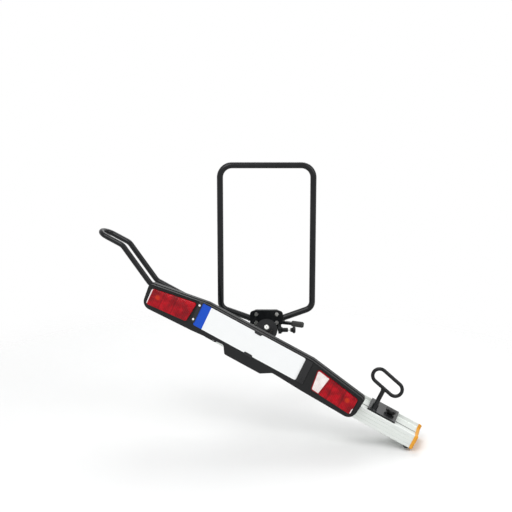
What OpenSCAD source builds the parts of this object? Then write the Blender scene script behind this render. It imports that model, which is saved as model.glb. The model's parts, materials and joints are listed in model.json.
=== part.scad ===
// Tow ball carrier for one small motorcycle, tilting to load.
// Millimetres. Origin at the centre of the tow ball, +X to the right seen from behind the vehicle,
// +Y forward to the vehicle, +Z up. The tilting part is drawn level and then swung to the loading pose.

/* [Tilt] */
// Angle of the tilt axis above the horizontal, rising to the rear
axis_angle = 30; // [20:1:40]
// Angle between the level pose and the loading pose
tilt_angle = 29; // [24:1:32]
// Distance from the ball centre back to the tilt pivot
pivot_back = 130; // [126:1:150]
// Diameter of the tilt shaft
shaft_d = 24; // [18:1:28]
// Radial running gap of the shaft in its bushes
run_gap = 0.05; // [0.02:0.01:0.1]
// Gap between flat faces that slide on each other
slide_gap = 0.3; // [0.2:0.05:0.6]
// Gap between a piece and the hole it is fixed in
fit_gap = 0.1; // [0.05:0.05:0.2]

/* [Coupler] */
// Diameter of the tow ball
ball_d = 50; // [45:1:56]
// Radial room between ball and socket
socket_gap = 0.25; // [0.1:0.05:0.5]
// Wall around the ball socket
coupler_wall = 16; // [12:1:18]
// Depth of the socket skirt below the ball centre
skirt = 24; // [20:1:28]
// Half width of the clamp jaw
jaw_half = 12; // [9:1:14]
// Travel of the clamp jaw
jaw_travel = 5; // [3:0.5:6]
// Length of the clamp lever from pin to grip
lever_l = 62; // [50:1:80]

/* [Mast] */
// Width between the centre lines of the mast legs
mast_w = 420; // [380:5:480]
// Height of the mast's top bar over the ball centre
mast_top = 755; // [650:5:850]
// Diameter of the mast tube
mast_d = 28; // [24:1:32]
// Bend radius of the top corners
mast_corner = 55; // [45:1:80]
// Bend radius above the lower runs
mast_bend = 40; // [34:1:50]
// Slope of the lower runs
mast_slope = 20; // [14:1:26]
// Distance between the mast bolts across
mast_bolt_w = 94; // [90:1:98]
// Distance between the mast bolts in height
mast_bolt_h = 40; // [34:1:44]

/* [Rail] */
// Length of the rail to the left of the pivot
rail_left = 518; // [460:1:600]
// Length of the rail to the right of the pivot
rail_right = 801; // [740:5:900]
// Width of the rail
rail_w = 170; // [150:2:190]
// Height of the rail
rail_h = 65; // [58:1:76]
// Wall of the rail extrusion
rail_wall = 4; // [3:0.5:5]
// Depth of the wheel channel in the rail's top
dish = 15; // [12:1:18]
// Width of the flat lips beside the wheel channel
lip_w = 10; // [8:1:14]
// Width of the T slot's mouth
slot_w = 11; // [10:0.5:13]
// Drop of the rail's top below the ball centre
rail_drop = 44; // [43:1:56]
// Length of an end cap
cap_l = 16; // [10:1:22]

/* [Light board] */
// Half length of the light board
board_half = 541; // [520:1:570]
// Depth of the light board
board_d = 50; // [42:1:60]
// Height of the board's top edge over the ball centre
board_top = 52; // [50:1:60]
// Wall of the board moulding
board_wall = 3.5; // [3:0.5:4.5]
// Distance of the board brackets from the middle
bracket_x = 190; // [150:1:215]
// Length of the number plate
plate_l = 520; // [500:1:524]
// Height of the number plate
plate_h = 110; // [100:1:112]
// Offset of the number plate's middle to the right
plate_x = -21; // [-24:1:-18]
// Height that the lenses stand proud of the panel
lens_proud = 9; // [5:1:14]

/* [Wheel holders] */
// Diameter of the front hoop tube
hoop_d = 25; // [20:1:28]
// Distance between the front hoop's legs
hoop_w = 90; // [80:1:100]
// Height of the front hoop over the rail
hoop_rise = 99; // [80:1:130]
// Slope of the front hoop's legs
hoop_slope = 27; // [20:1:35]
// Diameter of the rear loop tube
loop_d = 16; // [12:1:18]
// Width of the rear loop between its centre lines
loop_w = 62; // [52:1:72]
// Length of the rear loop's straight sides
loop_l = 87; // [70:1:110]
// Height of the rear loop's middle over the rail
loop_z = 143; // [125:1:170]
// Diameter of the star knobs
knob_d = 50; // [40:1:56]

/* [Hidden] */
$fn = 64;
e = 0.02;
through = 90;
frame_bolt_r = 5;
rail_bolt_r = 4;
board_screw_r = 3;
pivot = [0, -pivot_back, 0];
axis = [0, -cos(axis_angle), sin(axis_angle)];

shaft_r = shaft_d / 2;
bush_r = shaft_r + 4;
bush_flange_r = bush_r + 9;
bush_flange_t = 2.8;
hub_r = bush_r + 12;
hub_l = 39;
hub_0 = bush_flange_t + 0.2;
hub_1 = hub_0 + hub_l;
disc_r = 50;
disc_t = 18;
barrel_r = 34;
barrel_l = 34;
nut_l = 16;
washer_t = 3;
washer_0 = hub_1 + bush_flange_t + 0.2;
nut_0 = washer_0 + washer_t;
lock_z = hub_0 + disc_t / 2;
lock_r = 6;
lock_reach = 10;
pull_rod_r = 4;
sleeve_r = 10;
sleeve_0 = disc_r + 3;
sleeve_1 = sleeve_0 + 45;

socket_r = ball_d / 2 + socket_gap;
socket_wall = min(skirt - 4, socket_r - 3);
coupler_r = socket_r + coupler_wall;
coupler_top = socket_r + coupler_wall;
jaw_h = 13;
jaw_back = coupler_r + 1;
ear_t = 8;
pin_r = 5;
pin_x = jaw_back + 15.5;
pin_z = 6;
cam_gap = 0.8;
lever_open = 95;
lever_drop = 8;
key_lock_r = 5;
flange_y = -(coupler_r + 30.75);
flange_t = 10;
flange_half = 48;
flange_low = -22;
flange_top = 46;
flange_bolts = [for (x = [-39, 39], z = [flange_low + 9, flange_top - 9]) [x, z]];

upright_y = flange_y - flange_t - 10;
upright_half = 58;
upright_top = 88;
mast_plate_t = 6;
mast_plate_y = upright_y - mast_plate_t;
mast_plate_low = 19.6;
mast_plate_half = 76;
mast_r = mast_d / 2;
mast_y = upright_y + mast_r - mast_plate_t + 1.5;
mast_end = 66;
mast_end_z = 44;
mast_run = (mast_w / 2 - mast_end - mast_bend * (1 - sin(mast_slope))) / cos(mast_slope);
mast_leg_z = mast_end_z + mast_run * sin(mast_slope) + mast_bend * cos(mast_slope);
mast_bolt_z = 29.5 + mast_bolt_h / 2;
mast_bolts_at = [for (x = [-0.5, 0.5] * mast_bolt_w, z = [-0.5, 0.5] * mast_bolt_h) [x, mast_bolt_z + z]];

rail_far = -(pivot_back + 4);
rail_near = rail_far - rail_w;
rail_mid = rail_far - rail_w / 2;
rail_top = -rail_drop;
rail_low = rail_top - rail_h;
slot_head_w = slot_w + 11;
slot_head_h = 9;
slot_lip = 6;
slot_floor = rail_h - dish - slot_lip - slot_head_h;
saddle_t = 8;
saddle_half = 115;
saddle_bolt_x = [-98, -55, 55, 98];
saddle_back_z = rail_low + (rail_h - dish) / 2;
lip_in = rail_w / 2 - lip_w;
channel_lean = 3;
chamber_in = slot_head_w / 2 + rail_wall + 10;
chamber_top = rail_h - dish - rail_wall;
saddle_shelf_y = rail_mid - (rail_w / 2 - rail_wall + chamber_in) / 2;
foot_t = 9;

bracket_t = 6;
bracket_w = 60;
bracket_bolt_x = [-16, 16];
bracket_top_half = 16;
bracket_top = 38;
board_screw_z = [-14, 22];
notch_half = bracket_w / 2 - 1;
rib_t = 3;
rib_z = [-36, 4];
rib_x = [for (s = [-1, 1], d = [-50, 45]) s * (bracket_x + d)];
rib_half = bracket_x + 46;
board_back = rail_near - bracket_t;
panel_t = 4;
panel_y = board_back - board_d;
lip_left = -84;
lip_right = -91;
bulge_low = -121;
bulge_left = -98;
bulge_right = 84;
end_low = -107;
end_drop = 44;
near_bolt_z = rail_low + 15;
plate_t = 1.6;
plate_z = -10;
plate_left = plate_x - plate_l / 2;
plate_right = plate_x + plate_l / 2;
clip_w = 14;
clip_t = 3.2;
rivet_r = 2.5;
clip_slide_w = 31;
clip_lap = 3;
clip_travel = 20;
tab_half = 19;
lens_wall = 2.5;
lens_side = 43;
lens_end = 27;
lens_top = 32;
lens_fall = 38;
lens_lean = 11;
lens_h = 97;
lens_h_out = 75;
lens_corner = 10;
split_top_w = 66;
split_low_w = 50;
lens_back = panel_y + panel_t + 3;
lens_front = panel_y - lens_proud;
base_d = 26;
bulb_r = 9;
grommet_r = 5;

hoop_r = hoop_d / 2;
hoop_bend = 50;
plate_foot_t = 6;
foot_half = rail_w / 2 - 6;
foot_0 = rail_top + slide_gap;
foot_1 = foot_0 + plate_foot_t;
hoop_z = foot_1 + hoop_r + 2;
hoop_low_x = -543;
hoop_run = (hoop_rise - 2 * hoop_bend * (1 - cos(hoop_slope))) / sin(hoop_slope);
hoop_top_l = 70;
front_foot_x = [5 - rail_left, -395];
front_stud_x = -430;
loop_r = loop_d / 2;
loop_x = 591;
loop_y = rail_mid - 60;
loop_tilt = -14;
stem_r = 10;
rear_foot_x = [566, 700];
rear_stud_x = 664;
stud_r = 5;
knob_h = 18;

steel_black = "#17181a";
cast_black = "#26282b";
zinc = "#b9bcc0";
alloy = "#c3c8c2";
shell_grey = "#2b2d2f";
lens_red = "#b3121a";
lens_clear = "#e9dede";
cap_orange = "#e8641c";
rubber = "#1a1a1a";
white = "#f2f3f2";
blue = "#2c57a5";

// Points and outlines
function xy(p) = [p[0], p[1]];
function unit(v) = v / norm(v);
function left_of(a, b) = let (d = unit(xy(b) - xy(a))) [-d[1], d[0]];
function wrap(a) = a > 180 ? a - 360 : a < -180 ? a + 360 : a;

// The arc that rounds corner b between a and c, b holding its radius
function arc_corner(a, b, c, n = 6) =
  let (u = unit(xy(a) - xy(b)), v = unit(xy(c) - xy(b)), half = acos(u * v) / 2)
  let (m = xy(b) + unit(u + v) * b[2] / sin(half))
  let (p = xy(b) + u * b[2] / tan(half) - m, q = xy(b) + v * b[2] / tan(half) - m)
  let (a0 = atan2(p[1], p[0]), turn = wrap(atan2(q[1], q[0]) - a0))
  [for (k = [0 : n]) m + b[2] * [cos(a0 + turn * k / n), sin(a0 + turn * k / n)]];

// A closed outline of [x, y, radius] corners, counter-clockwise
function outline(ps) = let (n = len(ps))
  [for (i = [0 : n - 1]) each arc_corner(ps[(i + n - 1) % n], ps[i], ps[(i + 1) % n])];

// The same corners moved inward by d
function inset(ps, d) = let (n = len(ps)) [for (i = [0 : n - 1])
  let (a = ps[(i + n - 1) % n], b = ps[i], c = ps[(i + 1) % n])
  let (n1 = left_of(a, b), n2 = left_of(b, c), bulge = cross(xy(b) - xy(a), xy(c) - xy(b)) > 0)
  let (p = xy(b) + (n1 + n2) * d / (1 + n1 * n2))
  [p[0], p[1], max(0.6, bulge ? b[2] - d : b[2] + d)]];

function flip(ps) = [for (i = [len(ps) - 1 : -1 : 0]) [-ps[i][0], ps[i][1], ps[i][2]]];

// A point of the pivot's side view from its height over the axis and its place along it
function side_point(w, along) = [-pivot_back + w * sin(axis_angle) - along * cos(axis_angle),
  w * cos(axis_angle) + along * sin(axis_angle)];

// Frames
module on_axis(along = 0) translate(pivot) rotate([90 - axis_angle, 0, 0])
  translate([0, 0, along]) children();
module tilted() translate(pivot) rotate(a = -tilt_angle, v = axis) translate(-pivot) children();
// Draws an X-Z outline from y towards the rear over depth h
module facing(y, h) translate([0, y, 0]) rotate([90, 0, 0]) linear_extrude(h) children();
// Draws a Y-Z outline from x to the right over length l
module along_x(x, l) translate([x, 0, 0]) rotate([90, 0, 90]) linear_extrude(l) children();
module box(a, b) translate(a) cube(b - a);
module both() for (s = [0, 1]) mirror([s, 0, 0]) children();

// A bent tube: [length] is a straight run, [radius, angle] a bend, a negative angle turns right,
// and [0, 0, roll] turns the plane of the next bend. Straight runs reach a little into the slimmer bends.
module tube_run(steps, r, i = 0) {
  if (i < len(steps)) {
    s = steps[i];
    if (len(s) == 1) {
      translate([-0.3, 0, 0]) rotate([0, 90, 0]) cylinder(h = s[0] + 0.6, r = r);
      translate([s[0], 0, 0]) tube_run(steps, r, i + 1);
    } else if (len(s) == 3) {
      rotate([s[2], 0, 0]) tube_run(steps, r, i + 1);
    } else {
      side = s[1] < 0 ? 1 : 0;
      turn = abs(s[1]);
      mirror([0, side, 0]) translate([0, s[0], 0]) rotate([0, 0, -90])
        rotate_extrude(angle = turn) translate([s[0], 0]) circle(r - 0.05);
      translate([s[0] * sin(turn), (side == 1 ? -1 : 1) * s[0] * (1 - cos(turn)), 0]) rotate([0, 0, s[1]])
        tube_run(steps, r, i + 1);
    }
  }
}

// Fasteners
module hex_head(r, h) cylinder(h = h, r = r * 1.9, $fn = 6);
// A bolt whose head's underside is at the origin, its shank down -Z
module bolt(r, l, head = 0) {
  translate([0, 0, -l]) cylinder(h = l, r = r);
  hex_head(r, head > 0 ? head : r * 1.3);
}
module nut(r) difference() {
  hex_head(r, r * 1.6);
  translate([0, 0, -1]) cylinder(h = r * 4, r = r + fit_gap / 2);
}

// Coupler on the tow ball
module coupler_housing() color(cast_black) difference() {
  union() {
    rotate_extrude() polygon([[0, -skirt], [coupler_r - 4, -skirt], [coupler_r, 4 - skirt], [coupler_r, 16],
      [coupler_r * 0.9, coupler_top * 0.72], [coupler_r * 0.64, coupler_top * 0.94],
      [coupler_r * 0.34, coupler_top], [0, coupler_top]]);
    box([-flange_half * 0.62, flange_y, flange_low + 2], [flange_half * 0.62, -socket_r, coupler_top * 0.72]);
    facing(flange_y + flange_t, flange_t) polygon(outline([[-flange_half, flange_low, 10],
      [flange_half, flange_low, 10], [flange_half, flange_top, 10], [-flange_half, flange_top, 10]]));
    box([0, -(jaw_half + slide_gap + ear_t), -16], [pin_x, jaw_half + slide_gap + ear_t, 20]);
    translate([pin_x, 0, pin_z]) rotate([90, 0, 0])
      cylinder(h = 2 * (jaw_half + slide_gap + ear_t), r = 13, center = true);
    both() box([flange_half * 0.62 - 4, flange_y, -2], [flange_half * 0.62 + 4, -socket_r - 6, 12]);
  }
  rotate_extrude() polygon([[0, -skirt - 1], [socket_r, -skirt - 1], [socket_r, socket_wall],
    [socket_r * 0.72, socket_r + socket_gap], [0, socket_r + socket_gap]]);
  translate([0, 0, -skirt - e]) cylinder(h = 4, r1 = socket_r + 4, r2 = socket_r);
  box([socket_r * 0.5, -(jaw_half + slide_gap), -(jaw_h + slide_gap)],
    [jaw_back + 40, jaw_half + slide_gap, jaw_h + slide_gap]);
  box([coupler_r - 5, -(jaw_half + slide_gap), -skirt - 4],
    [jaw_back + 40, jaw_half + slide_gap, coupler_top + 4]);
  translate([pin_x, 0, pin_z]) rotate([90, 0, 0])
    cylinder(h = through, r = pin_r + fit_gap / 2, center = true);
  for (p = flange_bolts) translate([p[0], flange_y - 1, p[1]]) rotate([-90, 0, 0])
    cylinder(h = flange_t + 2, r = frame_bolt_r + fit_gap / 2);
}

module clamp_jaw() color(zinc) difference() {
  box([socket_r * 0.6, -jaw_half, -jaw_h], [jaw_back, jaw_half, jaw_h]);
  cylinder(h = through, r = socket_r, center = true);
}

module lever_place() translate([pin_x, 0, pin_z]) rotate([90, 0, 0]) children();

// The cam's reach falls evenly with the lever's turn, so the jaw follows it at one ratio
module coupler_lever() color(steel_black) {
  reach = pin_x - jaw_back - cam_gap;
  toe = 180 - lever_open;
  lever_place() difference() {
    union() {
      translate([0, 0, -jaw_half + slide_gap]) linear_extrude(2 * (jaw_half - slide_gap)) polygon(concat(
        [for (k = [0 : 12]) let (a = toe + lever_open * k / 12)
          (reach - jaw_travel * (180 - a) / lever_open) * [cos(a), sin(a)]],
        [for (k = [0 : 16]) let (a = 186 + (168 + toe) * k / 16)
          (reach - jaw_travel - 0.6) * [cos(a), sin(a)]]));
      rotate([0, 0, -lever_drop]) linear_extrude(2 * (jaw_half - 2), center = true)
        polygon(outline([[0, -8, 1], [lever_l - 2, -6, 1], [lever_l + 20, -6, 3], [lever_l + 20, 6, 3],
          [lever_l - 2, 6, 1], [0, 8, 1]]));
    }
    cylinder(h = through, r = pin_r + run_gap, center = true);
    rotate([0, 0, -lever_drop]) translate([lever_l - 34, 0, 0]) rotate([-90, 0, 0])
      cylinder(h = 30, r = key_lock_r + fit_gap / 2);
  }
}

module lever_lock() color(zinc) lever_place() rotate([0, 0, -lever_drop]) translate([lever_l - 34, 0, 0])
  rotate([-90, 0, 0]) difference() {
    union() {
      cylinder(h = 8.5, r = key_lock_r);
      translate([0, 0, 7.6]) cylinder(h = 2, r = key_lock_r + 1.5);
    }
    translate([-0.7, -3, 8]) cube([1.4, 6, 3]);
  }

module lever_grip() color(rubber) lever_place() rotate([0, 0, -lever_drop]) difference() {
  translate([lever_l, 0, 0]) rotate([0, 90, 0]) union() {
    cylinder(h = 4, r1 = 11, r2 = 14);
    translate([0, 0, 4]) cylinder(h = 48, r = 14);
    translate([0, 0, 52]) cylinder(h = 6, r1 = 14, r2 = 10);
  }
  translate([0, -6 - fit_gap, -(jaw_half - 2) - fit_gap])
    cube([lever_l + 20 + fit_gap, 12 + 2 * fit_gap, 2 * (jaw_half - 2 + fit_gap)]);
}

module lever_pin() color(zinc) lever_place() {
  l = 2 * (jaw_half + slide_gap + ear_t);
  cylinder(h = l, r = pin_r, center = true);
  for (s = [0, 1]) mirror([0, 0, s]) translate([0, 0, l / 2]) cylinder(h = 3, r = pin_r + 2.5);
}

// Bearing head and mast
web_half = 26;
head_web = [[flange_y - 8, flange_low], [flange_y - 8, flange_top],
  side_point(barrel_r - 2, -4), side_point(4 - barrel_r, -barrel_l + 1)];
module pivot_head() color(cast_black) difference() {
  union() {
    facing(flange_y, flange_t) polygon(outline([[-flange_half, flange_low, 10],
      [flange_half, flange_low, 10], [flange_half, flange_top, 10], [-flange_half, flange_top, 10]]));
    facing(flange_y - flange_t + e, 10 + e) polygon(outline([[-upright_half, -8, 8], [upright_half, -8, 8],
      [upright_half, upright_top, 12], [-upright_half, upright_top, 12]]));
    on_axis(-barrel_l) cylinder(h = barrel_l, r = barrel_r);
    along_x(-web_half, 2 * web_half) polygon(head_web);
    box([upright_half - 4, side_point(0, lock_z)[0] - sleeve_r - 7, -7],
      [upright_half + 10, upright_y + 8, 18.6]);
  }
  on_axis(-barrel_l + 4) cylinder(h = barrel_l, r = shaft_r + fit_gap / 2);
  for (p = flange_bolts) translate([p[0], flange_y + 1, p[1]]) rotate([90, 0, 0])
    cylinder(h = flange_t + 12, r = frame_bolt_r + fit_gap / 2);
  for (p = mast_bolts_at) translate([p[0], upright_y - 1, p[1]]) rotate([-90, 0, 0])
    cylinder(h = 16, r = frame_bolt_r + fit_gap / 2);
  on_axis(lock_z) rotate([0, 90, 0]) cylinder(h = sleeve_1, r = sleeve_r + fit_gap / 2);
}

module coupler_bolts() color(zinc) for (p = flange_bolts)
  translate([p[0], flange_y + flange_t, p[1]]) rotate([-90, 0, 0]) bolt(frame_bolt_r, 2 * flange_t - 1);

module mast_hoop() color(steel_black) {
  leg = mast_top - mast_corner - mast_leg_z;
  low_bend = [mast_bend, -(90 - mast_slope)];
  translate([-mast_end, mast_y, mast_end_z]) rotate([90, 0, 0]) rotate([0, 0, 180 - mast_slope])
    tube_run([[mast_run], low_bend, [leg], [mast_corner, -90], [mast_w - 2 * mast_corner],
      [mast_corner, -90], [leg], low_bend, [mast_run]], mast_r);
}

// The flange is notched for the tube ends and arched over the bearing barrel
module mast_flange() color(steel_black) difference() {
  facing(upright_y, mast_plate_t) polygon(outline([[-mast_plate_half, mast_plate_low, 8],
    [mast_plate_half, mast_plate_low, 8], [mast_plate_half, upright_top - 8, 16],
    [upright_half - 8, upright_top, 16], [8 - upright_half, upright_top, 16],
    [-mast_plate_half, upright_top - 8, 16]]));
  on_axis(-through) cylinder(h = 2 * through, r = barrel_r + 3);
  along_x(-web_half - 2, 2 * web_half + 4) translate([0, 2]) polygon(head_web);
  both() translate([mast_end, mast_y, mast_end_z]) rotate([0, 90 - mast_slope, 0])
    translate([0, 0, -0.4]) cylinder(h = mast_run, r = mast_r + fit_gap / 2);
  for (p = mast_bolts_at) translate([p[0], upright_y + 1, p[1]]) rotate([90, 0, 0])
    cylinder(h = mast_plate_t + 2, r = frame_bolt_r + fit_gap / 2);
}

module mast_bolts() color(zinc) for (p = mast_bolts_at)
  translate([p[0], mast_plate_y, p[1]]) rotate([90, 0, 0]) bolt(frame_bolt_r, mast_plate_t + 12);

// Tilt shaft and index plunger
module pivot_shaft() color(zinc) on_axis(-barrel_l + 4) {
  l = barrel_l - 4 + nut_0 + nut_l;
  cylinder(h = l, r = shaft_r);
  translate([0, 0, l]) cylinder(h = 3, r1 = shaft_r, r2 = shaft_r - 2.5);
}

module shaft_washer() color(zinc) on_axis(washer_0) difference() {
  cylinder(h = washer_t, r = bush_flange_r);
  translate([0, 0, -1]) cylinder(h = washer_t + 2, r = shaft_r + fit_gap);
}

module shaft_nut() color(zinc) on_axis(nut_0) difference() {
  union() {
    cylinder(h = nut_l, r = shaft_r * 1.72, $fn = 6);
    cylinder(h = 2, r = shaft_r * 1.8);
  }
  translate([0, 0, -1]) cylinder(h = nut_l + 2, r = shaft_r + fit_gap / 2);
}

module on_lock() on_axis(lock_z) rotate([0, 90, 0]) children();

module lock_sleeve() color(steel_black) on_lock() difference() {
  union() {
    translate([0, 0, sleeve_0]) cylinder(h = sleeve_1 - sleeve_0, r = sleeve_r);
    translate([0, 0, upright_half + 10]) cylinder(h = 5, r = sleeve_r + 4, $fn = 6);
  }
  translate([0, 0, sleeve_0 - 1]) cylinder(h = 30, r = lock_r + run_gap);
  translate([0, 0, sleeve_0 + 17]) cylinder(h = 24, r = lock_r + 2);
  translate([0, 0, sleeve_0 + 20]) cylinder(h = 40, r = pull_rod_r + run_gap);
}

module lock_spring() color(zinc) on_lock() difference() {
  translate([0, 0, sleeve_0 + 31]) cylinder(h = 9.8, r = lock_r + 1.6);
  translate([0, 0, sleeve_0 + 30]) cylinder(h = 12, r = 5);
}

module lock_pin() color(zinc) on_lock() {
  translate([0, 0, disc_r + 1.2]) cylinder(h = 2, r1 = lock_r - 1.5, r2 = lock_r);
  translate([0, 0, disc_r + 3.2]) cylinder(h = sleeve_0 + 28 - disc_r - 3.2, r = lock_r);
  translate([0, 0, sleeve_0 + 27.5]) cylinder(h = 3, r = lock_r + 1.6);
  translate([0, 0, sleeve_0 + 30]) cylinder(h = 30, r = pull_rod_r);
}

module lock_knob() color(cast_black) on_lock() translate([0, 0, sleeve_1 + lock_reach + 1]) difference() {
  rotate_extrude() polygon([[0, 0], [9, 0], [10, 8], [15, 13], [16, 18], [14, 22], [9, 24], [0, 24]]);
  translate([0, 0, -1])
    cylinder(h = 5 + sleeve_0 + 60 - sleeve_1 - lock_reach, r = pull_rod_r + fit_gap / 2);
}

// Swing bracket that carries the rail
module swing_bracket() tilted() color(steel_black) difference() {
  union() {
    on_axis(hub_0) cylinder(h = hub_l, r = hub_r);
    on_axis(hub_0) cylinder(h = disc_t, r = disc_r);
    both() along_x(22, 8) polygon([
      [rail_far + saddle_t, rail_low - saddle_t], [rail_far + saddle_t, rail_top - 5],
      side_point(-barrel_r - 4, hub_0 + 1.5), side_point(5, hub_0 + 1.5), side_point(5, hub_1 - 2),
      side_point(-hub_r, hub_1 - 2), [side_point(-hub_r, hub_1 - 2)[0], rail_top], [rail_far, rail_top],
      [rail_far, rail_low - saddle_t]]);
    box([-saddle_half, rail_far, rail_low - saddle_t], [saddle_half, rail_far + saddle_t, rail_top - 16]);
    box([-saddle_half, rail_near + 15, rail_low - saddle_t], [saddle_half, rail_far + saddle_t, rail_low]);
    both() along_x(saddle_half - 8, 8) polygon([[rail_far + saddle_t - e, rail_low - saddle_t],
      [rail_far + saddle_t - e, rail_top - 16], [rail_far + saddle_t + 12, rail_low - saddle_t]]);
  }
  on_axis(hub_0 - 1) cylinder(h = hub_l + 2, r = bush_r + fit_gap / 2);
  for (a = [0, tilt_angle]) on_axis(lock_z) rotate([0, 0, a]) rotate([0, 90, 0])
    translate([0, 0, disc_r - lock_reach - 4]) cylinder(h = disc_r, r = lock_r + slide_gap);
  for (x = saddle_bolt_x) {
    translate([x, rail_far - 1, saddle_back_z]) rotate([-90, 0, 0])
      cylinder(h = saddle_t + 2, r = rail_bolt_r + fit_gap / 2);
    translate([x, saddle_shelf_y, rail_low - saddle_t - 1])
      cylinder(h = saddle_t + 2, r = rail_bolt_r + fit_gap / 2);
  }
}

module bush() difference() {
  union() {
    cylinder(h = hub_l / 2 - 1, r = bush_r);
    translate([0, 0, -bush_flange_t]) cylinder(h = bush_flange_t, r = bush_flange_r);
  }
  translate([0, 0, -20]) cylinder(h = hub_l + 20, r = shaft_r + run_gap);
}

module pivot_bushes() tilted() color("#c9b98a") {
  on_axis(hub_0) bush();
  on_axis(hub_1) rotate([180, 0, 0]) bush();
}

module saddle_bolts() tilted() color(zinc) for (x = saddle_bolt_x) {
  l = saddle_t + rail_wall + 10;
  translate([x, rail_far + saddle_t, saddle_back_z]) rotate([-90, 0, 0]) bolt(rail_bolt_r, l);
  translate([x, saddle_shelf_y, rail_low - saddle_t]) rotate([180, 0, 0]) bolt(rail_bolt_r, l);
}

module saddle_nuts() tilted() color(zinc) for (x = saddle_bolt_x) {
  translate([x, rail_far - rail_wall, saddle_back_z]) rotate([90, 0, 0]) nut(rail_bolt_r);
  translate([x, saddle_shelf_y, rail_low + rail_wall]) nut(rail_bolt_r);
}

// Rail extrusion, seen along X with its middle at 0 and its foot at 0
side_chamber = [[-rail_w / 2 + rail_wall, rail_wall, 4], [-chamber_in, rail_wall, 4],
  [-chamber_in, chamber_top, 4], [-rail_w / 2 + rail_wall, chamber_top, 4]];
channel = [[channel_lean - lip_in, rail_h - dish, 3], [lip_in - channel_lean, rail_h - dish, 3],
  [lip_in + channel_lean, rail_h + dish, 1], [-lip_in - channel_lean, rail_h + dish, 1]];
mid_chamber = [[-chamber_in + rail_wall, rail_wall, 4], [chamber_in - rail_wall, rail_wall, 4],
  [chamber_in - rail_wall, slot_floor - rail_wall, 4], [-chamber_in + rail_wall, slot_floor - rail_wall, 4]];
rail_box = [[-rail_w / 2, 0, 3], [rail_w / 2, 0, 3], [rail_w / 2, rail_h, 3], [-rail_w / 2, rail_h, 3]];

module rail_profile() difference() {
  polygon(outline(rail_box));
  polygon(outline(channel));
  polygon(outline(side_chamber));
  polygon(outline(flip(side_chamber)));
  polygon(outline(mid_chamber));
  translate([-slot_w / 2, slot_floor]) square([slot_w, rail_h]);
  translate([-slot_head_w / 2, slot_floor]) square([slot_head_w, slot_head_h]);
  for (s = [-1, 1], v = [0.26, 0.5, 0.74]) translate([s * rail_w / 2, v * rail_h])
    polygon([for (p = [[-1.6, -1], [1.6, -2.6], [1.6, 2.6], [-1.6, 1]]) [s * p[0], p[1]]]);
  for (u = [-0.3, 0.3]) translate([u * rail_w, 0]) square([12, 3.2], center = true);
}

module rail() tilted() color(alloy) difference() {
  translate([0, rail_mid, rail_low]) along_x(-rail_left, rail_left + rail_right) rail_profile();
  for (x = saddle_bolt_x) {
    translate([x, rail_far - rail_wall - 2, saddle_back_z]) rotate([-90, 0, 0])
      cylinder(h = rail_wall + 4, r = rail_bolt_r + fit_gap / 2);
    translate([x, saddle_shelf_y, rail_low - 2])
      cylinder(h = rail_wall + 4, r = rail_bolt_r + fit_gap / 2);
  }
  for (s = [-1, 1], x = bracket_bolt_x) translate([s * bracket_x + x, rail_near - 2, near_bolt_z])
    rotate([-90, 0, 0]) cylinder(h = rail_wall + 4, r = rail_bolt_r + fit_gap / 2);
}

module rail_cap() {
  for (l = [[0, cap_l - 4, -1.5], [cap_l - 4 - e, 2 + e, 0], [cap_l - 2 - e, 2 + e, 2]])
    along_x(l[0], l[1]) difference() {
      polygon(outline(inset([for (p = rail_box) [p[0], p[1], 6]], l[2])));
      polygon(outline(inset(channel, -l[2])));
    }
  for (c = [side_chamber, flip(side_chamber)]) along_x(-18, 18 + e) polygon(outline(inset(c, 0.3)));
}

module rail_cap_right() tilted() color(cap_orange) translate([rail_right, rail_mid, rail_low]) rail_cap();
module rail_cap_left() tilted() color(cap_orange) translate([-rail_left, rail_mid, rail_low])
  mirror([1, 0, 0]) rail_cap();

module rail_feet() tilted() color(rubber) for (y = [rail_near + 13, rail_far - 13])
  translate([rail_right - 14, y, rail_low - foot_t]) {
    cylinder(h = 3, r1 = 9, r2 = 12);
    translate([0, 0, 3 - e]) cylinder(h = foot_t - 3 + e, r = 12);
  }

// Light board, drawn as X-Z outlines
board_ring = [[bulge_right, bulge_low, 14], [bulge_right + 48, lip_right, 10],
  [plate_l / 2 + 16, lip_right - 8, 12], [board_half - 10, end_low, 40],
  [board_half, board_top - end_drop, 20], [plate_l / 2 + 2, board_top, 30],
  [-plate_l / 2 - 2, board_top, 30], [-board_half, board_top - end_drop, 20],
  [10 - board_half, end_low, 40], [-plate_l / 2 - 16, lip_left - 13, 12],
  [bulge_left - 22, lip_left, 10], [bulge_left, bulge_low, 14]];
lens_in = [plate_l / 2 + lens_side, lens_top];
lens_out = [board_half - lens_end, lens_top - lens_fall];
lens_low_in = [lens_in[0] + lens_lean, lens_in[1] - lens_h];
lens_low_out = [lens_out[0] - 2, lens_out[1] - lens_h_out];
split_top = lens_in[0] + split_top_w;
split_low = lens_in[0] + split_low_w;
function lens_top_z(x) = lens_in[1]
  + (x - lens_in[0]) * (lens_out[1] - lens_in[1]) / (lens_out[0] - lens_in[0]);
function lens_low_z(x) = lens_low_in[1]
  + (x - lens_low_in[0]) * (lens_low_out[1] - lens_low_in[1]) / (lens_low_out[0] - lens_low_in[0]);
function rounded(p) = [p[0], p[1], lens_corner];
lens_ring = [rounded(lens_low_in), rounded(lens_low_out), rounded(lens_out), rounded(lens_in)];
red_ring = [[split_low + 1, lens_low_z(split_low + 1), 3], rounded(lens_low_out), rounded(lens_out),
  [split_top + 1, lens_top_z(split_top + 1), 3]];
clear_ring = [rounded(lens_low_in), [split_low, lens_low_z(split_low), 3],
  [split_top, lens_top_z(split_top), 3], rounded(lens_in)];
board_screws = [for (s = [-1, 1], z = board_screw_z) [s * bracket_x, z]];
rivets_at = [for (z = [-30, 40]) [plate_left - clip_w / 2, plate_z + z]];
clip_slots = [-42, 26];

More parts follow.
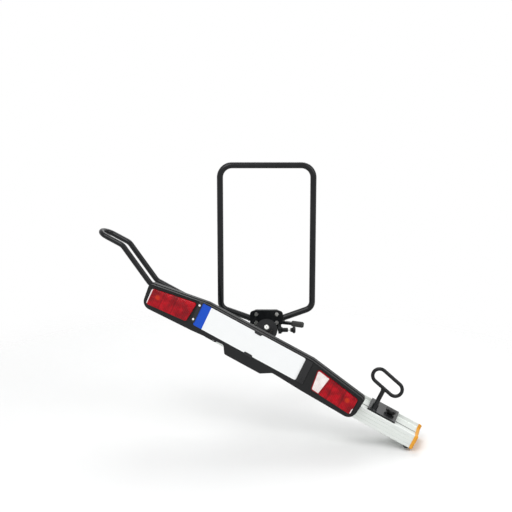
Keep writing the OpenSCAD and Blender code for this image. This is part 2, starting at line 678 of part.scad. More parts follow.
module board_shell() tilted() color(shell_grey) difference() {
  union() {
    difference() {
      union() {
        facing(board_back, 26) polygon(outline(board_ring));
        facing(board_back - 26 + e, board_d - 30) polygon(outline(inset(board_ring, 3)));
        facing(panel_y + 5, 3) polygon(outline(inset(board_ring, 5)));
        facing(panel_y + 3, 3) polygon(outline(inset(board_ring, 7)));
      }
      facing(board_back + 1, 26 - board_wall) polygon(outline(inset(board_ring, board_wall)));
      facing(board_back, board_d - panel_t) polygon(outline(inset(board_ring, 7 + board_wall)));
    }
    for (p = board_screws) translate([p[0], board_back, p[1]]) rotate([90, 0, 0])
      cylinder(h = board_d - panel_t + e, r = 8);
    for (x = rib_x) box([x - rib_t / 2, panel_y + panel_t - e, lip_left + 8],
      [x + rib_t / 2, board_back - 10, board_top - 4]);
    for (z = rib_z) box([-rib_half, panel_y + panel_t - e, z - rib_t / 2],
      [rib_half, board_back - 24, z + rib_t / 2]);
  }
  for (r = [lens_ring, flip(lens_ring)]) facing(panel_y + panel_t + 2, panel_t + 4)
    polygon(outline(inset(r, -0.4)));
  for (p = board_screws) translate([p[0], board_back + 1, p[1]]) rotate([90, 0, 0])
    cylinder(h = 32, r = board_screw_r + fit_gap / 2);
  for (p = rivets_at) translate([p[0], panel_y - 1, p[1]]) rotate([-90, 0, 0])
    cylinder(h = panel_t + 2, r = rivet_r + fit_gap / 2);
  for (s = [-1, 1]) box([s * bracket_x - notch_half, board_back - 9, near_bolt_z - 40],
    [s * bracket_x + notch_half, board_back + 1, near_bolt_z + 10]);
  for (z = clip_slots) box([plate_right + 3, panel_y - 1, z - 3],
    [plate_right + 10 + clip_travel, panel_y + panel_t + 1, z + 3]);
}

module board_brackets() tilted() color(steel_black) both() difference() {
  facing(rail_near, bracket_t) polygon(outline([[bracket_x - bracket_w / 2, rail_low + 3, 6],
    [bracket_x + bracket_w / 2, rail_low + 3, 6], [bracket_x + bracket_w / 2, rail_top + 2, 6],
    [bracket_x + bracket_top_half, bracket_top, 8], [bracket_x - bracket_top_half, bracket_top, 8],
    [bracket_x - bracket_w / 2, rail_top + 2, 6]]));
  for (x = bracket_bolt_x) translate([bracket_x + x, rail_near + 1, near_bolt_z]) rotate([90, 0, 0])
    cylinder(h = bracket_t + 2, r = rail_bolt_r + fit_gap / 2);
  for (z = board_screw_z) translate([bracket_x, rail_near + 1, z]) rotate([90, 0, 0])
    cylinder(h = bracket_t + 2, r = board_screw_r + fit_gap / 2);
}

module bracket_bolts() tilted() color(zinc) {
  for (s = [-1, 1], x = bracket_bolt_x) translate([s * bracket_x + x, board_back, near_bolt_z])
    rotate([90, 0, 0]) bolt(rail_bolt_r, bracket_t + rail_wall + 10);
  for (p = board_screws) translate([p[0], rail_near, p[1]]) rotate([-90, 0, 0])
    bolt(board_screw_r, bracket_t + 28);
}

module bracket_nuts() tilted() color(zinc) for (s = [-1, 1], x = bracket_bolt_x)
  translate([s * bracket_x + x, rail_near + rail_wall, near_bolt_z]) rotate([-90, 0, 0]) nut(rail_bolt_r);

// A hollow lens open to the lamp base behind it
module lens(ring) difference() {
  facing(lens_back, lens_back - lens_front) polygon(outline(ring));
  facing(lens_back + 1, lens_back - lens_front - lens_wall + 1) polygon(outline(inset(ring, lens_wall)));
}
module left_lens() tilted() color(lens_red) lens(flip(lens_ring));
module right_lens() tilted() color(lens_red) lens(red_ring);
module reverse_lens() tilted() color(lens_clear) lens(clear_ring);

// Bulb holders sit in the floor of each base; the cable leaves through a grommet
function lamp_x(share) = lens_in[0] + share * (lens_out[0] - lens_in[0]);
function lamp_points(s) = [for (x = [lamp_x(0.166), lamp_x(0.483), lamp_x(0.79)])
  [s * x, (lens_top_z(x) + lens_low_z(x)) / 2]];
function grommet_point(s) = [s * lamp_x(0.65), lens_low_z(lamp_x(0.65)) + 9];
module lamp_base(s) {
  ring = s > 0 ? lens_ring : flip(lens_ring);
  difference() {
    facing(lens_back + base_d, base_d) polygon(outline(inset(ring, -3)));
    facing(lens_back + base_d - 3, base_d) polygon(outline(inset(ring, lens_wall - 0.5)));
    for (p = lamp_points(s)) translate([p[0], lens_back + base_d + 1, p[1]]) rotate([90, 0, 0])
      cylinder(h = 8, r = bulb_r + fit_gap / 2);
    translate([grommet_point(s)[0], lens_back + base_d + 1, grommet_point(s)[1]]) rotate([90, 0, 0])
      cylinder(h = 8, r = grommet_r + fit_gap / 2);
  }
}
module left_lamp_base() tilted() color("#d9d9d6") lamp_base(-1);
module right_lamp_base() tilted() color("#d9d9d6") lamp_base(1);

module lamp_bulbs() tilted() color("#d8d2bd") for (s = [-1, 1], p = lamp_points(s))
  translate([p[0], lens_back + base_d + 2, p[1]]) rotate([90, 0, 0]) {
    cylinder(h = 2, r = bulb_r + 2);
    cylinder(h = 12, r = bulb_r);
    cylinder(h = 22, r = 4);
    translate([0, 0, 22]) sphere(r = 6.5);
  }

module lamp_grommets() tilted() color(rubber) for (s = [-1, 1])
  translate([grommet_point(s)[0], lens_back + base_d, grommet_point(s)[1]]) rotate([90, 0, 0]) difference() {
    union() {
      translate([0, 0, -4]) cylinder(h = 4, r = grommet_r + 3);
      translate([0, 0, -e]) cylinder(h = 4, r = grommet_r);
      translate([0, 0, 3.1]) cylinder(h = 2, r = grommet_r + 2);
    }
    translate([0, 0, -6]) cylinder(h = 12, r = grommet_r / 2);
  }

// Number plate and its holders
band_w = 45;
module number_plate() tilted() color(white) facing(panel_y, plate_t) polygon(outline([
  [plate_left + band_w, plate_z - plate_h / 2, 0.6], [plate_right, plate_z - plate_h / 2, 14],
  [plate_right, plate_z + plate_h / 2, 14], [plate_left + band_w, plate_z + plate_h / 2, 0.6]]));
module plate_band() tilted() color(blue) facing(panel_y, plate_t) polygon(outline([
  [plate_left, plate_z - plate_h / 2, 10], [plate_left + band_w, plate_z - plate_h / 2, 0.6],
  [plate_left + band_w, plate_z + plate_h / 2, 0.6], [plate_left, plate_z + plate_h / 2, 10]]));

// A strip beside the plate with a lip over its edge, its plate side facing left
module clip_strip(low, high, wide) {
  box([0.4, -plate_t - clip_t, low], [wide, 0, high]);
  box([-clip_lap, -plate_t - clip_t, low], [1, -plate_t - 0.25, high]);
}

module plate_clip_left() tilted() color(cast_black) difference() {
  translate([plate_left, panel_y, 0]) mirror([1, 0, 0]) clip_strip(-54, 44, clip_w);
  for (p = rivets_at) translate([p[0], panel_y + 1, p[1]]) rotate([90, 0, 0])
    cylinder(h = 12, r = rivet_r + fit_gap / 2);
}

module clip_rivets() tilted() color(white) for (p = rivets_at)
  translate([p[0], panel_y - plate_t - clip_t, p[1]]) rotate([90, 0, 0]) {
    tail = plate_t + clip_t + panel_t + 3;
    cylinder(h = 1.6, r = 2 * rivet_r);
    translate([0, 0, -tail]) cylinder(h = tail + 0.8, r = rivet_r);
    translate([0, 0, -tail]) cylinder(h = 2.9, r1 = rivet_r + 0.5, r2 = rivet_r + 2);
  }

module plate_clip_right() tilted() color(cast_black) translate([plate_right, panel_y - slide_gap, 0]) {
  clip_strip(-64, 44, clip_slide_w);
  for (k = [0:3]) box([9, -plate_t - 4.4, -60 + 7 * k], [clip_slide_w - 5, -plate_t - 3, -57 + 7 * k]);
  for (z = clip_slots) {
    box([4, -1, z - 2.6], [9, panel_t + 2 * slide_gap + 1, z + 2.6]);
    box([2, panel_t + 2 * slide_gap, z - 6], [11, panel_t + 2 * slide_gap + 3, z + 6]);
  }
}

module plate_tabs() tilted() color(shell_grey) for (s = [-1, 1]) {
  edge = plate_z + s * plate_h / 2;
  half = s > 0 ? tab_half : tab_half + 3;
  rim = [[half, edge + s * 6, 1.5], [-half, edge + s * 6, 1.5]];
  facing(panel_y - plate_t - 0.2, 1.8)
    polygon(outline([each rim, [3 - half, edge - s * 7, 6], [half - 3, edge - s * 7, 6]]));
  facing(s > 0 ? panel_y + 2 : panel_y, plate_t + (s > 0 ? 4 : 2))
    polygon(outline([each rim, [-half, edge + s * 0.4, 0.6], [half, edge + s * 0.4, 0.6]]));
}

// Wheel holders sliding in the rail's T slot
module foot_plate(xs) along_x(xs[0], xs[1] - xs[0])
  polygon(outline([[rail_mid - foot_half, foot_0, 1], [rail_mid + foot_half, foot_0, 1],
    [rail_mid + foot_half, foot_1, 1.5], [rail_mid - foot_half, foot_1, 1.5]]));

module clamp_bolt(x) translate([x, rail_mid, rail_low + slot_floor]) {
  box([-15, -slot_head_w / 2 + 0.5, 0.5], [15, slot_head_w / 2 - 0.5, slot_head_h - 0.5]);
  box([-15, -slot_w / 2 + 0.5, slot_head_h - 1], [15, slot_w / 2 - 0.5, slot_head_h + slot_lip - 1]);
  cylinder(h = foot_1 - rail_low - slot_floor + 12, r = stud_r);
}

module star_knob(x) translate([x, rail_mid, foot_1 + slide_gap]) difference() {
  union() {
    cylinder(h = 5, r = knob_d * 0.24);
    translate([0, 0, 5 - e]) difference() {
      rotate_extrude() polygon([[0, 0], [knob_d / 2 - 3, 0], [knob_d / 2, 3], [knob_d / 2, knob_h - 8],
        [knob_d / 2 - 4, knob_h - 5], [knob_d * 0.2, knob_h - 4], [0, knob_h - 3]]);
      for (k = [0 : 5]) rotate([0, 0, 60 * k]) translate([knob_d * 0.58, 0, -1])
        cylinder(h = knob_h, r = knob_d * 0.17);
    }
  }
  translate([0, 0, -1]) cylinder(h = 13.2, r = stud_r + run_gap);
}

module front_hoop() tilted() color(steel_black) {
  start = front_foot_x[1] - 8;
  side_roll = [0, 0, 90];
  rise = [[hoop_bend, hoop_slope], [hoop_run], [hoop_bend, -hoop_slope]];
  translate([start, rail_mid - hoop_w / 2, hoop_z]) rotate([0, 0, 180]) rotate([90, 0, 0])
    tube_run([[start - hoop_low_x], each rise, [hoop_top_l], side_roll, [hoop_w / 2, 180], side_roll,
      [hoop_top_l], each rise, [start - hoop_low_x]], hoop_r);
}

module front_foot() tilted() color(steel_black) difference() {
  union() {
    foot_plate(front_foot_x);
    for (x = [front_foot_x[0] + 4, front_foot_x[1] - 34], s = [-1, 1])
      translate([x, rail_mid + s * hoop_w / 2 - hoop_r - 4, foot_1 - e]) cube([26, 2 * hoop_r + 8, hoop_r]);
  }
  for (s = [-1, 1]) translate([front_foot_x[0] - 5, rail_mid + s * hoop_w / 2, hoop_z]) rotate([0, 90, 0])
    cylinder(h = front_foot_x[1] - front_foot_x[0] + 10, r = hoop_r + fit_gap / 2);
  translate([front_stud_x, rail_mid, foot_0 - 1]) cylinder(h = plate_foot_t + 2, r = stud_r + fit_gap);
}

module front_clamp_bolt() tilted() color(zinc) clamp_bolt(front_stud_x);
module front_knob() tilted() color(cast_black) star_knob(front_stud_x);

module rear_hoop() tilted() color(steel_black) {
  round_end = [loop_w / 2, 180];
  translate([loop_x, loop_y, foot_0 + 2]) cylinder(h = loop_z - loop_w / 2 / cos(loop_tilt) - 2, r = stem_r);
  translate([loop_x, loop_y, foot_0 + loop_z]) rotate([0, -loop_tilt, 0]) rotate([90, 0, 0])
    translate([-loop_l / 2, -loop_w / 2, 0]) tube_run([[loop_l], round_end, [loop_l], round_end], loop_r);
}

module rear_foot() tilted() color(steel_black) difference() {
  union() {
    foot_plate(rear_foot_x);
    translate([loop_x, loop_y, foot_0]) cylinder(h = 34, r = stem_r + 4.5);
    translate([loop_x, loop_y, foot_1 - e]) cylinder(h = 5, r1 = stem_r + 9, r2 = stem_r + 4.5);
  }
  translate([loop_x, loop_y, foot_0 + 2]) cylinder(h = 60, r = stem_r + fit_gap / 2);
  translate([rear_stud_x, rail_mid, foot_0 - 1]) cylinder(h = plate_foot_t + 2, r = stud_r + fit_gap);
}

module rear_clamp_bolt() tilted() color(zinc) clamp_bolt(rear_stud_x);
module rear_knob() tilted() color(cast_black) star_knob(rear_stud_x);

coupler_housing();
clamp_jaw();
coupler_lever();
lever_grip();
lever_lock();
lever_pin();
pivot_head();
coupler_bolts();
mast_hoop();
mast_flange();
mast_bolts();
pivot_shaft();
shaft_washer();
shaft_nut();
lock_sleeve();
lock_spring();
lock_pin();
lock_knob();
swing_bracket();
pivot_bushes();
saddle_bolts();
saddle_nuts();
rail();
rail_cap_left();
rail_cap_right();
rail_feet();
board_brackets();
bracket_bolts();
bracket_nuts();
board_shell();
left_lens();
right_lens();
reverse_lens();
left_lamp_base();
right_lamp_base();
lamp_bulbs();
lamp_grommets();
number_plate();
plate_band();
plate_clip_left();
clip_rivets();
plate_clip_right();
plate_tabs();
front_hoop();
front_foot();
front_clamp_bolt();
front_knob();
rear_hoop();
rear_foot();
rear_clamp_bolt();
rear_knob();
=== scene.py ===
"""Visual model of a tow ball carrier with its rail tilted to load, in the CAD part's frame."""

import json
import logging
import math
from dataclasses import dataclass, field
from enum import Enum
from typing import Callable, Mapping, Sequence, Union

import bmesh
import bpy
from mathutils import Matrix, Vector

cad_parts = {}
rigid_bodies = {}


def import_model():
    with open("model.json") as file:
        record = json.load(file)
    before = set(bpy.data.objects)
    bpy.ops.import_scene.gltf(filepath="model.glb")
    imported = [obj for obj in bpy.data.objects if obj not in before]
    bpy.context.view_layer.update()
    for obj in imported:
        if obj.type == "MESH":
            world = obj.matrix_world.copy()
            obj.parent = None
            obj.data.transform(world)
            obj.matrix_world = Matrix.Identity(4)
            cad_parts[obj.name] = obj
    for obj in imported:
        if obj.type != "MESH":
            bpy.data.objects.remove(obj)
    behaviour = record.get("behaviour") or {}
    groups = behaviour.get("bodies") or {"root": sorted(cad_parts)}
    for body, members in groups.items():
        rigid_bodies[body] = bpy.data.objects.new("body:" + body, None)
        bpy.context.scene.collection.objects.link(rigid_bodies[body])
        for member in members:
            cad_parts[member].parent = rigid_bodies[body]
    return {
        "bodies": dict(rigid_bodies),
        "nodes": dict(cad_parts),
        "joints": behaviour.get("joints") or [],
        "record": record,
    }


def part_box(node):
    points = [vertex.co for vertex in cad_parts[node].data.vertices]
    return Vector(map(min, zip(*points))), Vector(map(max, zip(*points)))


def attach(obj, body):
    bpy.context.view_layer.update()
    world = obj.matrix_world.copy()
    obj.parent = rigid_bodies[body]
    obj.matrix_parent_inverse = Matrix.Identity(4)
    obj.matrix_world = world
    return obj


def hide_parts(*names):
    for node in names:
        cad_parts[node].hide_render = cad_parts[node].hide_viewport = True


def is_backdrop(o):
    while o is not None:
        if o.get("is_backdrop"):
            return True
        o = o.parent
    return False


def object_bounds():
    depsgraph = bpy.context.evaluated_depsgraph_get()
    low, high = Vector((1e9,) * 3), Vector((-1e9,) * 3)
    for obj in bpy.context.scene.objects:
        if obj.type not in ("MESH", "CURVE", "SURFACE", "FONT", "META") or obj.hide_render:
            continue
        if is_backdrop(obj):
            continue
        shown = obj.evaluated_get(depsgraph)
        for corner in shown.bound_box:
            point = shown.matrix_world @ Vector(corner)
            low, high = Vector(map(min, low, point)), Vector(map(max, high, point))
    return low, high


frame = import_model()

LOG = logging.getLogger("carrier")
MM = 0.001
# Distances in metres: points that are one, points on a plane, faces by a plane
MERGED = 2e-6
ON_PLANE = 1e-5
BY_PLANE = 1e-4
# Least cosine of a face that looks the wanted way
FACING = 0.99
# Neighbouring faces within this many degrees are one flat face
FLAT_ANGLE = 0.8
# A weld swells above this sine, by this share of its radius
RIPPLE_FROM = 0.2
RIPPLE_RISE = 0.22
WELD_SMOOTH = 60.0
BEAD_SIDES = 10
STEPS_PER_RIPPLE = 4
# How far a lighter tone is lifted off black
LIFT = 0.01
Colour = tuple[float, float, float]
Thing = bpy.types.Object


class Slot(Enum):
    """Material slots of the record."""

    CAST = "cast_black"
    GLOSS = "gloss_black"
    ZINC = "zinc"
    ALLOY = "alloy"
    SHELL = "shell_black"
    CLIP = "clip_black"
    KNOB = "knob_black"
    RED = "lens_red"
    CLEAR = "lens_clear"
    LAMP = "lamp_white"
    BULB = "bulb"
    WHITE = "plate_white"
    BLUE = "plate_blue"
    ORANGE = "cap_orange"
    RUBBER = "rubber"
    BRONZE = "bronze"


class Body(Enum):
    """Bodies that the added pieces ride on."""

    BASE = "base"
    FRONT = "front_holder"
    REAR = "rear_holder"


# Shading


class Shade:
    """A shader socket. Its operators add Math nodes, its methods the other nodes that it feeds."""

    def __init__(self, graph: "Graph", socket: bpy.types.NodeSocket) -> None:
        """Holds one output socket of a graph."""
        self.graph = graph
        self.socket = socket

    def _math(self, operation: str, *values: "Value") -> "Shade":
        """One Math node of one or two values."""
        return self.graph.add("ShaderNodeMath", {"operation": operation}, dict(enumerate(values)))

    def __add__(self, other: "Value") -> "Shade":
        """Sum."""
        return self._math("ADD", self, other)

    __radd__ = __add__

    def __sub__(self, other: "Value") -> "Shade":
        """Difference."""
        return self._math("SUBTRACT", self, other)

    def __rsub__(self, other: "Value") -> "Shade":
        """Difference, number first."""
        return self._math("SUBTRACT", other, self)

    def __mul__(self, other: "Value") -> "Shade":
        """Product."""
        return self._math("MULTIPLY", self, other)

    __rmul__ = __mul__

    def __pow__(self, other: "Value") -> "Shade":
        """Power."""
        return self._math("POWER", self, other)

    def __abs__(self) -> "Shade":
        """Amount without its sign."""
        return self._math("ABSOLUTE", self)

    def __gt__(self, other: "Value") -> "Shade":
        """1 where this is larger."""
        return self._math("GREATER_THAN", self, other)

    def most(self, other: "Value") -> "Shade":
        """The larger of two."""
        return self._math("MAXIMUM", self, other)

    def wave(self, pitch: float) -> "Shade":
        """A sine from 0 to 1 over this length."""
        return self._math("SINE", self * (2 * math.pi / pitch)) * 0.5 + 0.5

    def span(self, low: float, high: float) -> "Shade":
        """0 at low and 1 at high, smooth and clamped between."""
        return self.graph.add("ShaderNodeMapRange", {"interpolation_type": "SMOOTHSTEP", "clamp": True},
                              {0: self, 1: low, 2: high, 3: 0.0, 4: 1.0})

    def stretch(self, *scale: float) -> "Shade":
        """This place, scaled along each axis."""
        return self.graph.add("ShaderNodeVectorMath", {"operation": "MULTIPLY"}, {0: self, 1: scale})

    def part(self, axis: str) -> "Shade":
        """One coordinate of this place."""
        return self.graph.add("ShaderNodeSeparateXYZ", {}, {0: self}, axis)

    def noise(self, scale: float = 1.0, detail: float = 3.0, rough: float = 0.55) -> "Shade":
        """Noise about 0.5 at this place."""
        return self.graph.add("ShaderNodeTexNoise", {},
                              {"Vector": self, "Scale": scale, "Detail": detail, "Roughness": rough})

    def cells(self, scale: float) -> "Shade":
        """Distance of this place from the nearest of scattered points."""
        return self.graph.add("ShaderNodeTexVoronoi", {}, {"Vector": self, "Scale": scale})

    def blend(self, first: object, second: object) -> "Shade":
        """A colour between two colours, this being the share of the second."""
        ends = [v if isinstance(v, Shade) else (*v, 1.0) for v in (first, second)]
        return self.graph.add("ShaderNodeMix", {"data_type": "RGBA"}, {0: self, 6: ends[0], 7: ends[1]}, 2)

    def relief(self, distance: float, strength: float = 1.0) -> "Shade":
        """A normal bent by this height."""
        return self.graph.add("ShaderNodeBump", {},
                              {"Height": self, "Distance": distance, "Strength": strength})


Value = Union[Shade, float]


class Graph:
    """The node tree of one material or world."""

    def __init__(self, owner: Union[bpy.types.Material, bpy.types.World]) -> None:
        """Starts with an empty tree.

        Args:
            owner: what the tree belongs to.
        """
        owner.use_nodes = True
        self.owner = owner
        self.tree = owner.node_tree
        self.tree.nodes.clear()

    def node(self, kind: str, settings: Mapping[str, object],
             sockets: Mapping[Union[int, str], object]) -> bpy.types.Node:
        """Adds one node.

        Args:
            kind: name of the node's type.
            settings: attributes of the node.
            sockets: inputs by name or index, each a Shade or a plain value.

        Returns:
            The node.
        """
        node = self.tree.nodes.new(kind)
        for key, setting in settings.items():
            setattr(node, key, setting)
        for key, value in sockets.items():
            if isinstance(value, Shade):
                self.tree.links.new(value.socket, node.inputs[key])
            else:
                node.inputs[key].default_value = value
        return node

    def add(self, kind: str, settings: Mapping[str, object], sockets: Mapping[Union[int, str], object],
            output: Union[int, str] = 0) -> Shade:
        """Adds one node and gives one of its outputs, by name or index."""
        return Shade(self, self.node(kind, settings, sockets).outputs[output])

    def surface(self, **inputs: object) -> None:
        """Adds the surface's shader.

        Args:
            inputs: its inputs, the spaces of their names written as underscores.
        """
        sockets = {key.replace("_", " "): value for key, value in inputs.items()}
        shader = self.add("ShaderNodeBsdfPrincipled", {}, sockets)
        self.node("ShaderNodeOutputMaterial", {}, {"Surface": shader})

    def place(self, tilt: "TiltFrame", level: bool) -> Shade:
        """Object coordinates, turned into the swung part's own axes if asked.

        Args:
            tilt: the swing.
            level: True for the swung part's axes.

        Returns:
            The coordinates.
        """
        here = self.add("ShaderNodeTexCoord", {}, {}, "Object")
        if not level:
            return here
        return self.add("ShaderNodeVectorRotate", {"rotation_type": "AXIS_ANGLE"},
                        {"Vector": here, "Center": tilt.pivot, "Axis": tilt.axis, "Angle": tilt.angle})


@dataclass(frozen=True)
class TiltFrame:
    """The swing from the level pose that pieces are drawn in to the pose at rest."""

    pivot: Vector
    axis: Vector
    angle: float

    @classmethod
    def of(cls, joints: Sequence[Mapping[str, object]]) -> "TiltFrame":
        """Reads the tilt joint of the frame.

        Args:
            joints: all joints.

        Returns:
            The swing.
        """
        joint = next(j for j in joints if j["name"] == "tilt")
        axis = Vector(joint["axis"]).normalized()
        return cls(Vector(joint["pos_m"]), axis, math.radians(joint["range_deg"][1]))

    @property
    def matrix(self) -> Matrix:
        """Takes a level point to its place at rest."""
        swing = Matrix.Rotation(-self.angle, 4, self.axis)
        return Matrix.Translation(self.pivot) @ swing @ Matrix.Translation(-self.pivot)


@dataclass(frozen=True)
class Finish:
    """What every finish has. A level finish follows the axes of the part that swings."""

    colour: Colour
    roughness: float
    level: bool = True
    shine: float = 0.2

    def material(self, name: str, tilt: TiltFrame) -> bpy.types.Material:
        """Builds the material.

        Args:
            name: its name.
            tilt: the swing of the part that tilts.

        Returns:
            The material.
        """
        graph = Graph(bpy.data.materials.new(name))
        self.paint(graph.place(tilt, self.level))
        return graph.owner

    def paint(self, at: Shade) -> None:
        """Sets the shader from the place on the piece."""
        raise NotImplementedError

    def shifted(self, share: float) -> Colour:
        """The colour, lighter for a positive share and darker for a negative one."""
        return tuple(min(1.0, c * (1 + share) + max(0.0, share) * LIFT) for c in self.colour)


@dataclass(frozen=True)
class PowderCoat(Finish):
    """Baked paint with orange peel, patches of dust and rubbed spots."""

    peel: float = 0.00006
    dust: float = 0.10
    coat: float = 0.3
    dust_colour: Colour = (0.32, 0.31, 0.29)

    def paint(self, at: Shade) -> None:
        """Sets the shader.

        Args:
            at: the place on the piece.
        """
        clouds = at.noise(scale=14, detail=5)
        fine = at.noise(scale=750, detail=2)
        rub = at.stretch(70, 25, 25).noise(detail=6, rough=0.7).span(0.62, 0.78)
        dust = at.noise(scale=55, detail=6, rough=0.7).span(0.5, 0.85) * self.dust
        tone = clouds.blend(self.shifted(-0.25), self.shifted(0.45))
        at.graph.surface(
            Base_Color=dust.blend(tone, self.dust_colour),
            Roughness=clouds * 0.14 + rub * 0.16 + (self.roughness - 0.08),
            Specular_IOR_Level=self.shine,
            Coat_Weight=self.coat * (1.0 - rub),
            Coat_Roughness=0.16,
            Normal=(fine + clouds * 3).relief(self.peel),
        )


@dataclass(frozen=True)
class ZincPlate(Finish):
    """Bright plated steel with a faint blue to straw bloom and dull spots."""

    straw: Colour = (0.60, 0.59, 0.54)
    dull: Colour = (0.33, 0.33, 0.33)

    def paint(self, at: Shade) -> None:
        """Sets the shader.

        Args:
            at: the place on the piece.
        """
        bloom = at.noise(scale=90, detail=4)
        grain = at.stretch(1, 1, 9).noise(scale=420)
        spots = at.noise(scale=330).span(0.66, 0.8)
        tone = bloom.blend(self.shifted(0.06), self.straw)
        at.graph.surface(
            Base_Color=(spots * 0.35).blend(tone, self.dull),
            Metallic=1.0 - spots * 0.3,
            Roughness=grain * 0.16 + spots * 0.2 + (self.roughness - 0.06),
            Normal=grain.relief(0.00003),
        )


@dataclass(frozen=True)
class DrawnAlloy(Finish):
    """Extruded aluminium with die lines along its length and rubbed spots."""

    hazy: Colour = (0.66, 0.68, 0.66)
    rubbed: Colour = (0.30, 0.31, 0.30)

    def paint(self, at: Shade) -> None:
        """Sets the shader.

        Args:
            at: the place on the piece.
        """
        lines = at.stretch(2.5, 620, 620).noise(rough=0.6)
        bands = at.stretch(1.2, 55, 55).noise(detail=2)
        haze = at.noise(scale=11, detail=5, rough=0.65)
        rubs = at.stretch(16, 90, 90).noise(detail=6, rough=0.7).span(0.60, 0.76)
        tone = bands.blend(self.shifted(-0.10), self.shifted(0.10))
        tone = (haze * 0.35).blend(tone, self.hazy)
        at.graph.surface(
            Base_Color=(rubs * 0.22).blend(tone, self.rubbed),
            Metallic=0.86 - haze * 0.3,
            Roughness=lines * 0.22 + rubs * 0.12 + (self.roughness - 0.1),
            Normal=lines.relief(0.00005),
        )


@dataclass(frozen=True)
class MouldedPlastic(Finish):
    """Moulded plastic with an eroded grain and pale scuffs."""

    grain: float = 0.00005
    scuff: float = 0.25

    def paint(self, at: Shade) -> None:
        """Sets the shader.

        Args:
            at: the place on the piece.
        """
        grain = at.noise(scale=1300, detail=2)
        clouds = at.noise(scale=9, detail=4)
        streaks = at.stretch(28, 130, 130).noise(detail=6, rough=0.72).span(0.63, 0.80)
        tone = clouds.blend(self.shifted(-0.18), self.shifted(0.22))
        at.graph.surface(
            Base_Color=(streaks * self.scuff).blend(tone, self.shifted(1.6)),
            Specular_IOR_Level=self.shine,
            Roughness=clouds * 0.12 + streaks * 0.15 + (self.roughness - 0.06),
            Normal=grain.relief(self.grain),
        )


@dataclass(frozen=True)
class LensPlastic(Finish):
    """Lamp cover with prisms in painted light and shade, dark seams between its chambers, a painted warm
    highlight over a bulb, a faint painted glow and a pale end.

    Places and edges are in metres, sideways from the board's middle. The prisms' rows and columns are pitches
    in millimetres.
    """

    # deep is the colour's dark end, used for the painted shade of the prisms and for the seams.
    deep: Colour = (0.2, 0.0, 0.0)
    # warm is the colour of the painted highlight over the bulb.
    warm: Colour = (0.75, 0.06, 0.006)
    pale: Colour = (0.74, 0.66, 0.66)
    framed: Colour = (0.30, 0.002, 0.008)
    # glow is the strength of a painted glow: the lens gives off light of its own colour though its bulb is
    # not lit.
    glow: float = 0.05
    rows: float = 5.0
    columns: float = 7.5
    seams: Sequence[float] = ()
    seam_edges: Sequence[float] = (0.0008, 0.0022)
    # The spot and the two fields after it place a painted warm highlight over the bulb.
    spot: float = 0.0
    highlight_z: float = -0.03
    highlight_area: float = 0.00022
    strip: float = 0.0
    strip_z: float = -0.05
    strip_w: float = 0.01
    strip_edge: float = 0.0012

    def paint(self, at: Shade) -> None:
        """Sets the shader.

        Args:
            at: the place on the piece.
        """
        across, up = at.part("X"), at.part("Z")
        out = abs(across)
        prisms = up.wave(self.rows * MM) * 0.6 + out.wave(self.columns * MM) * 0.4
        bowl = at.noise(scale=22)
        # Painted light and shade: the colour is lighter and darker in stripes at the prisms' pitch, mixed
        # with patches at random.
        tone = (prisms * 0.45 + bowl.span(0.35, 0.65) * 0.55).blend(self.deep, self.colour)
        for seam in self.seams:
            beside = abs(out - seam).span(*self.seam_edges)
            tone = ((1.0 - beside) * 0.7).blend(tone, self.deep)
        # Painted highlight: a warm patch over the bulb.
        if self.spot:
            highlight_distance = (out - self.spot) ** 2.0 + (up - self.highlight_z) ** 2.0
            tone = ((1.0 - highlight_distance.span(0.0, self.highlight_area)) * 0.4).blend(tone, self.warm)
        if self.strip:
            upper = (up - self.strip_z).span(-self.strip_w, self.strip_w)
            end = out + (across > 0.0) * (upper * -self.strip_w)
            tone = end.span(self.strip, self.strip + self.strip_edge).blend(tone, self.pale)
        rim = at.graph.add("ShaderNodeAttribute", {"attribute_name": "rim"}, {}, "Fac")
        tone = rim.span(0.15, 0.35).blend(tone, self.framed)
        at.graph.surface(
            Base_Color=tone,
            Specular_IOR_Level=self.shine,
            Roughness=self.roughness + prisms * 0.08,
            Coat_Weight=0.16 - bowl * 0.1,
            Coat_Roughness=0.08,
            # Painted glow: a little light of the lens's own colour.
            Emission_Color=tone,
            Emission_Strength=self.glow,
            Normal=prisms.relief(0.0004, 0.7),
        )


@dataclass(frozen=True)
class ReflectiveSheet(Finish):
    """Retroreflective sheet with fine cells under a clear face."""

    grimy: Colour = (0.42, 0.40, 0.36)

    def paint(self, at: Shade) -> None:
        """Sets the shader.

        Args:
            at: the place on the piece.
        """
        cells = at.cells(420)
        haze = at.stretch(8, 30, 30).noise(detail=5)
        grime = at.noise(scale=60, detail=6, rough=0.7).span(0.62, 0.85)
        tone = (cells.span(0.2, 0.7) * 0.06 + haze * 0.08).blend(self.colour, self.shifted(-0.28))
        at.graph.surface(
            Base_Color=(grime * 0.12).blend(tone, self.grimy),
            Specular_IOR_Level=self.shine,
            Roughness=haze * 0.15 + (self.roughness - 0.06),
            Coat_Weight=0.2 - grime * 0.1,
            Coat_Roughness=0.12,
            Normal=cells.relief(0.00003),
        )


@dataclass(frozen=True)
class SoftRubber(Finish):
    """Matt rubber with bloom and fine pits."""

    bloomed: Colour = (0.10, 0.10, 0.095)

    def paint(self, at: Shade) -> None:
        """Sets the shader.

        Args:
            at: the place on the piece.
        """
        bloom = at.noise(scale=70, detail=5, rough=0.65)
        pits = at.cells(900)
        at.graph.surface(
            Base_Color=(bloom * 0.5).blend(self.colour, self.bloomed),
            Roughness=bloom * 0.15 + self.roughness,
            Normal=pits.relief(0.00008),
        )


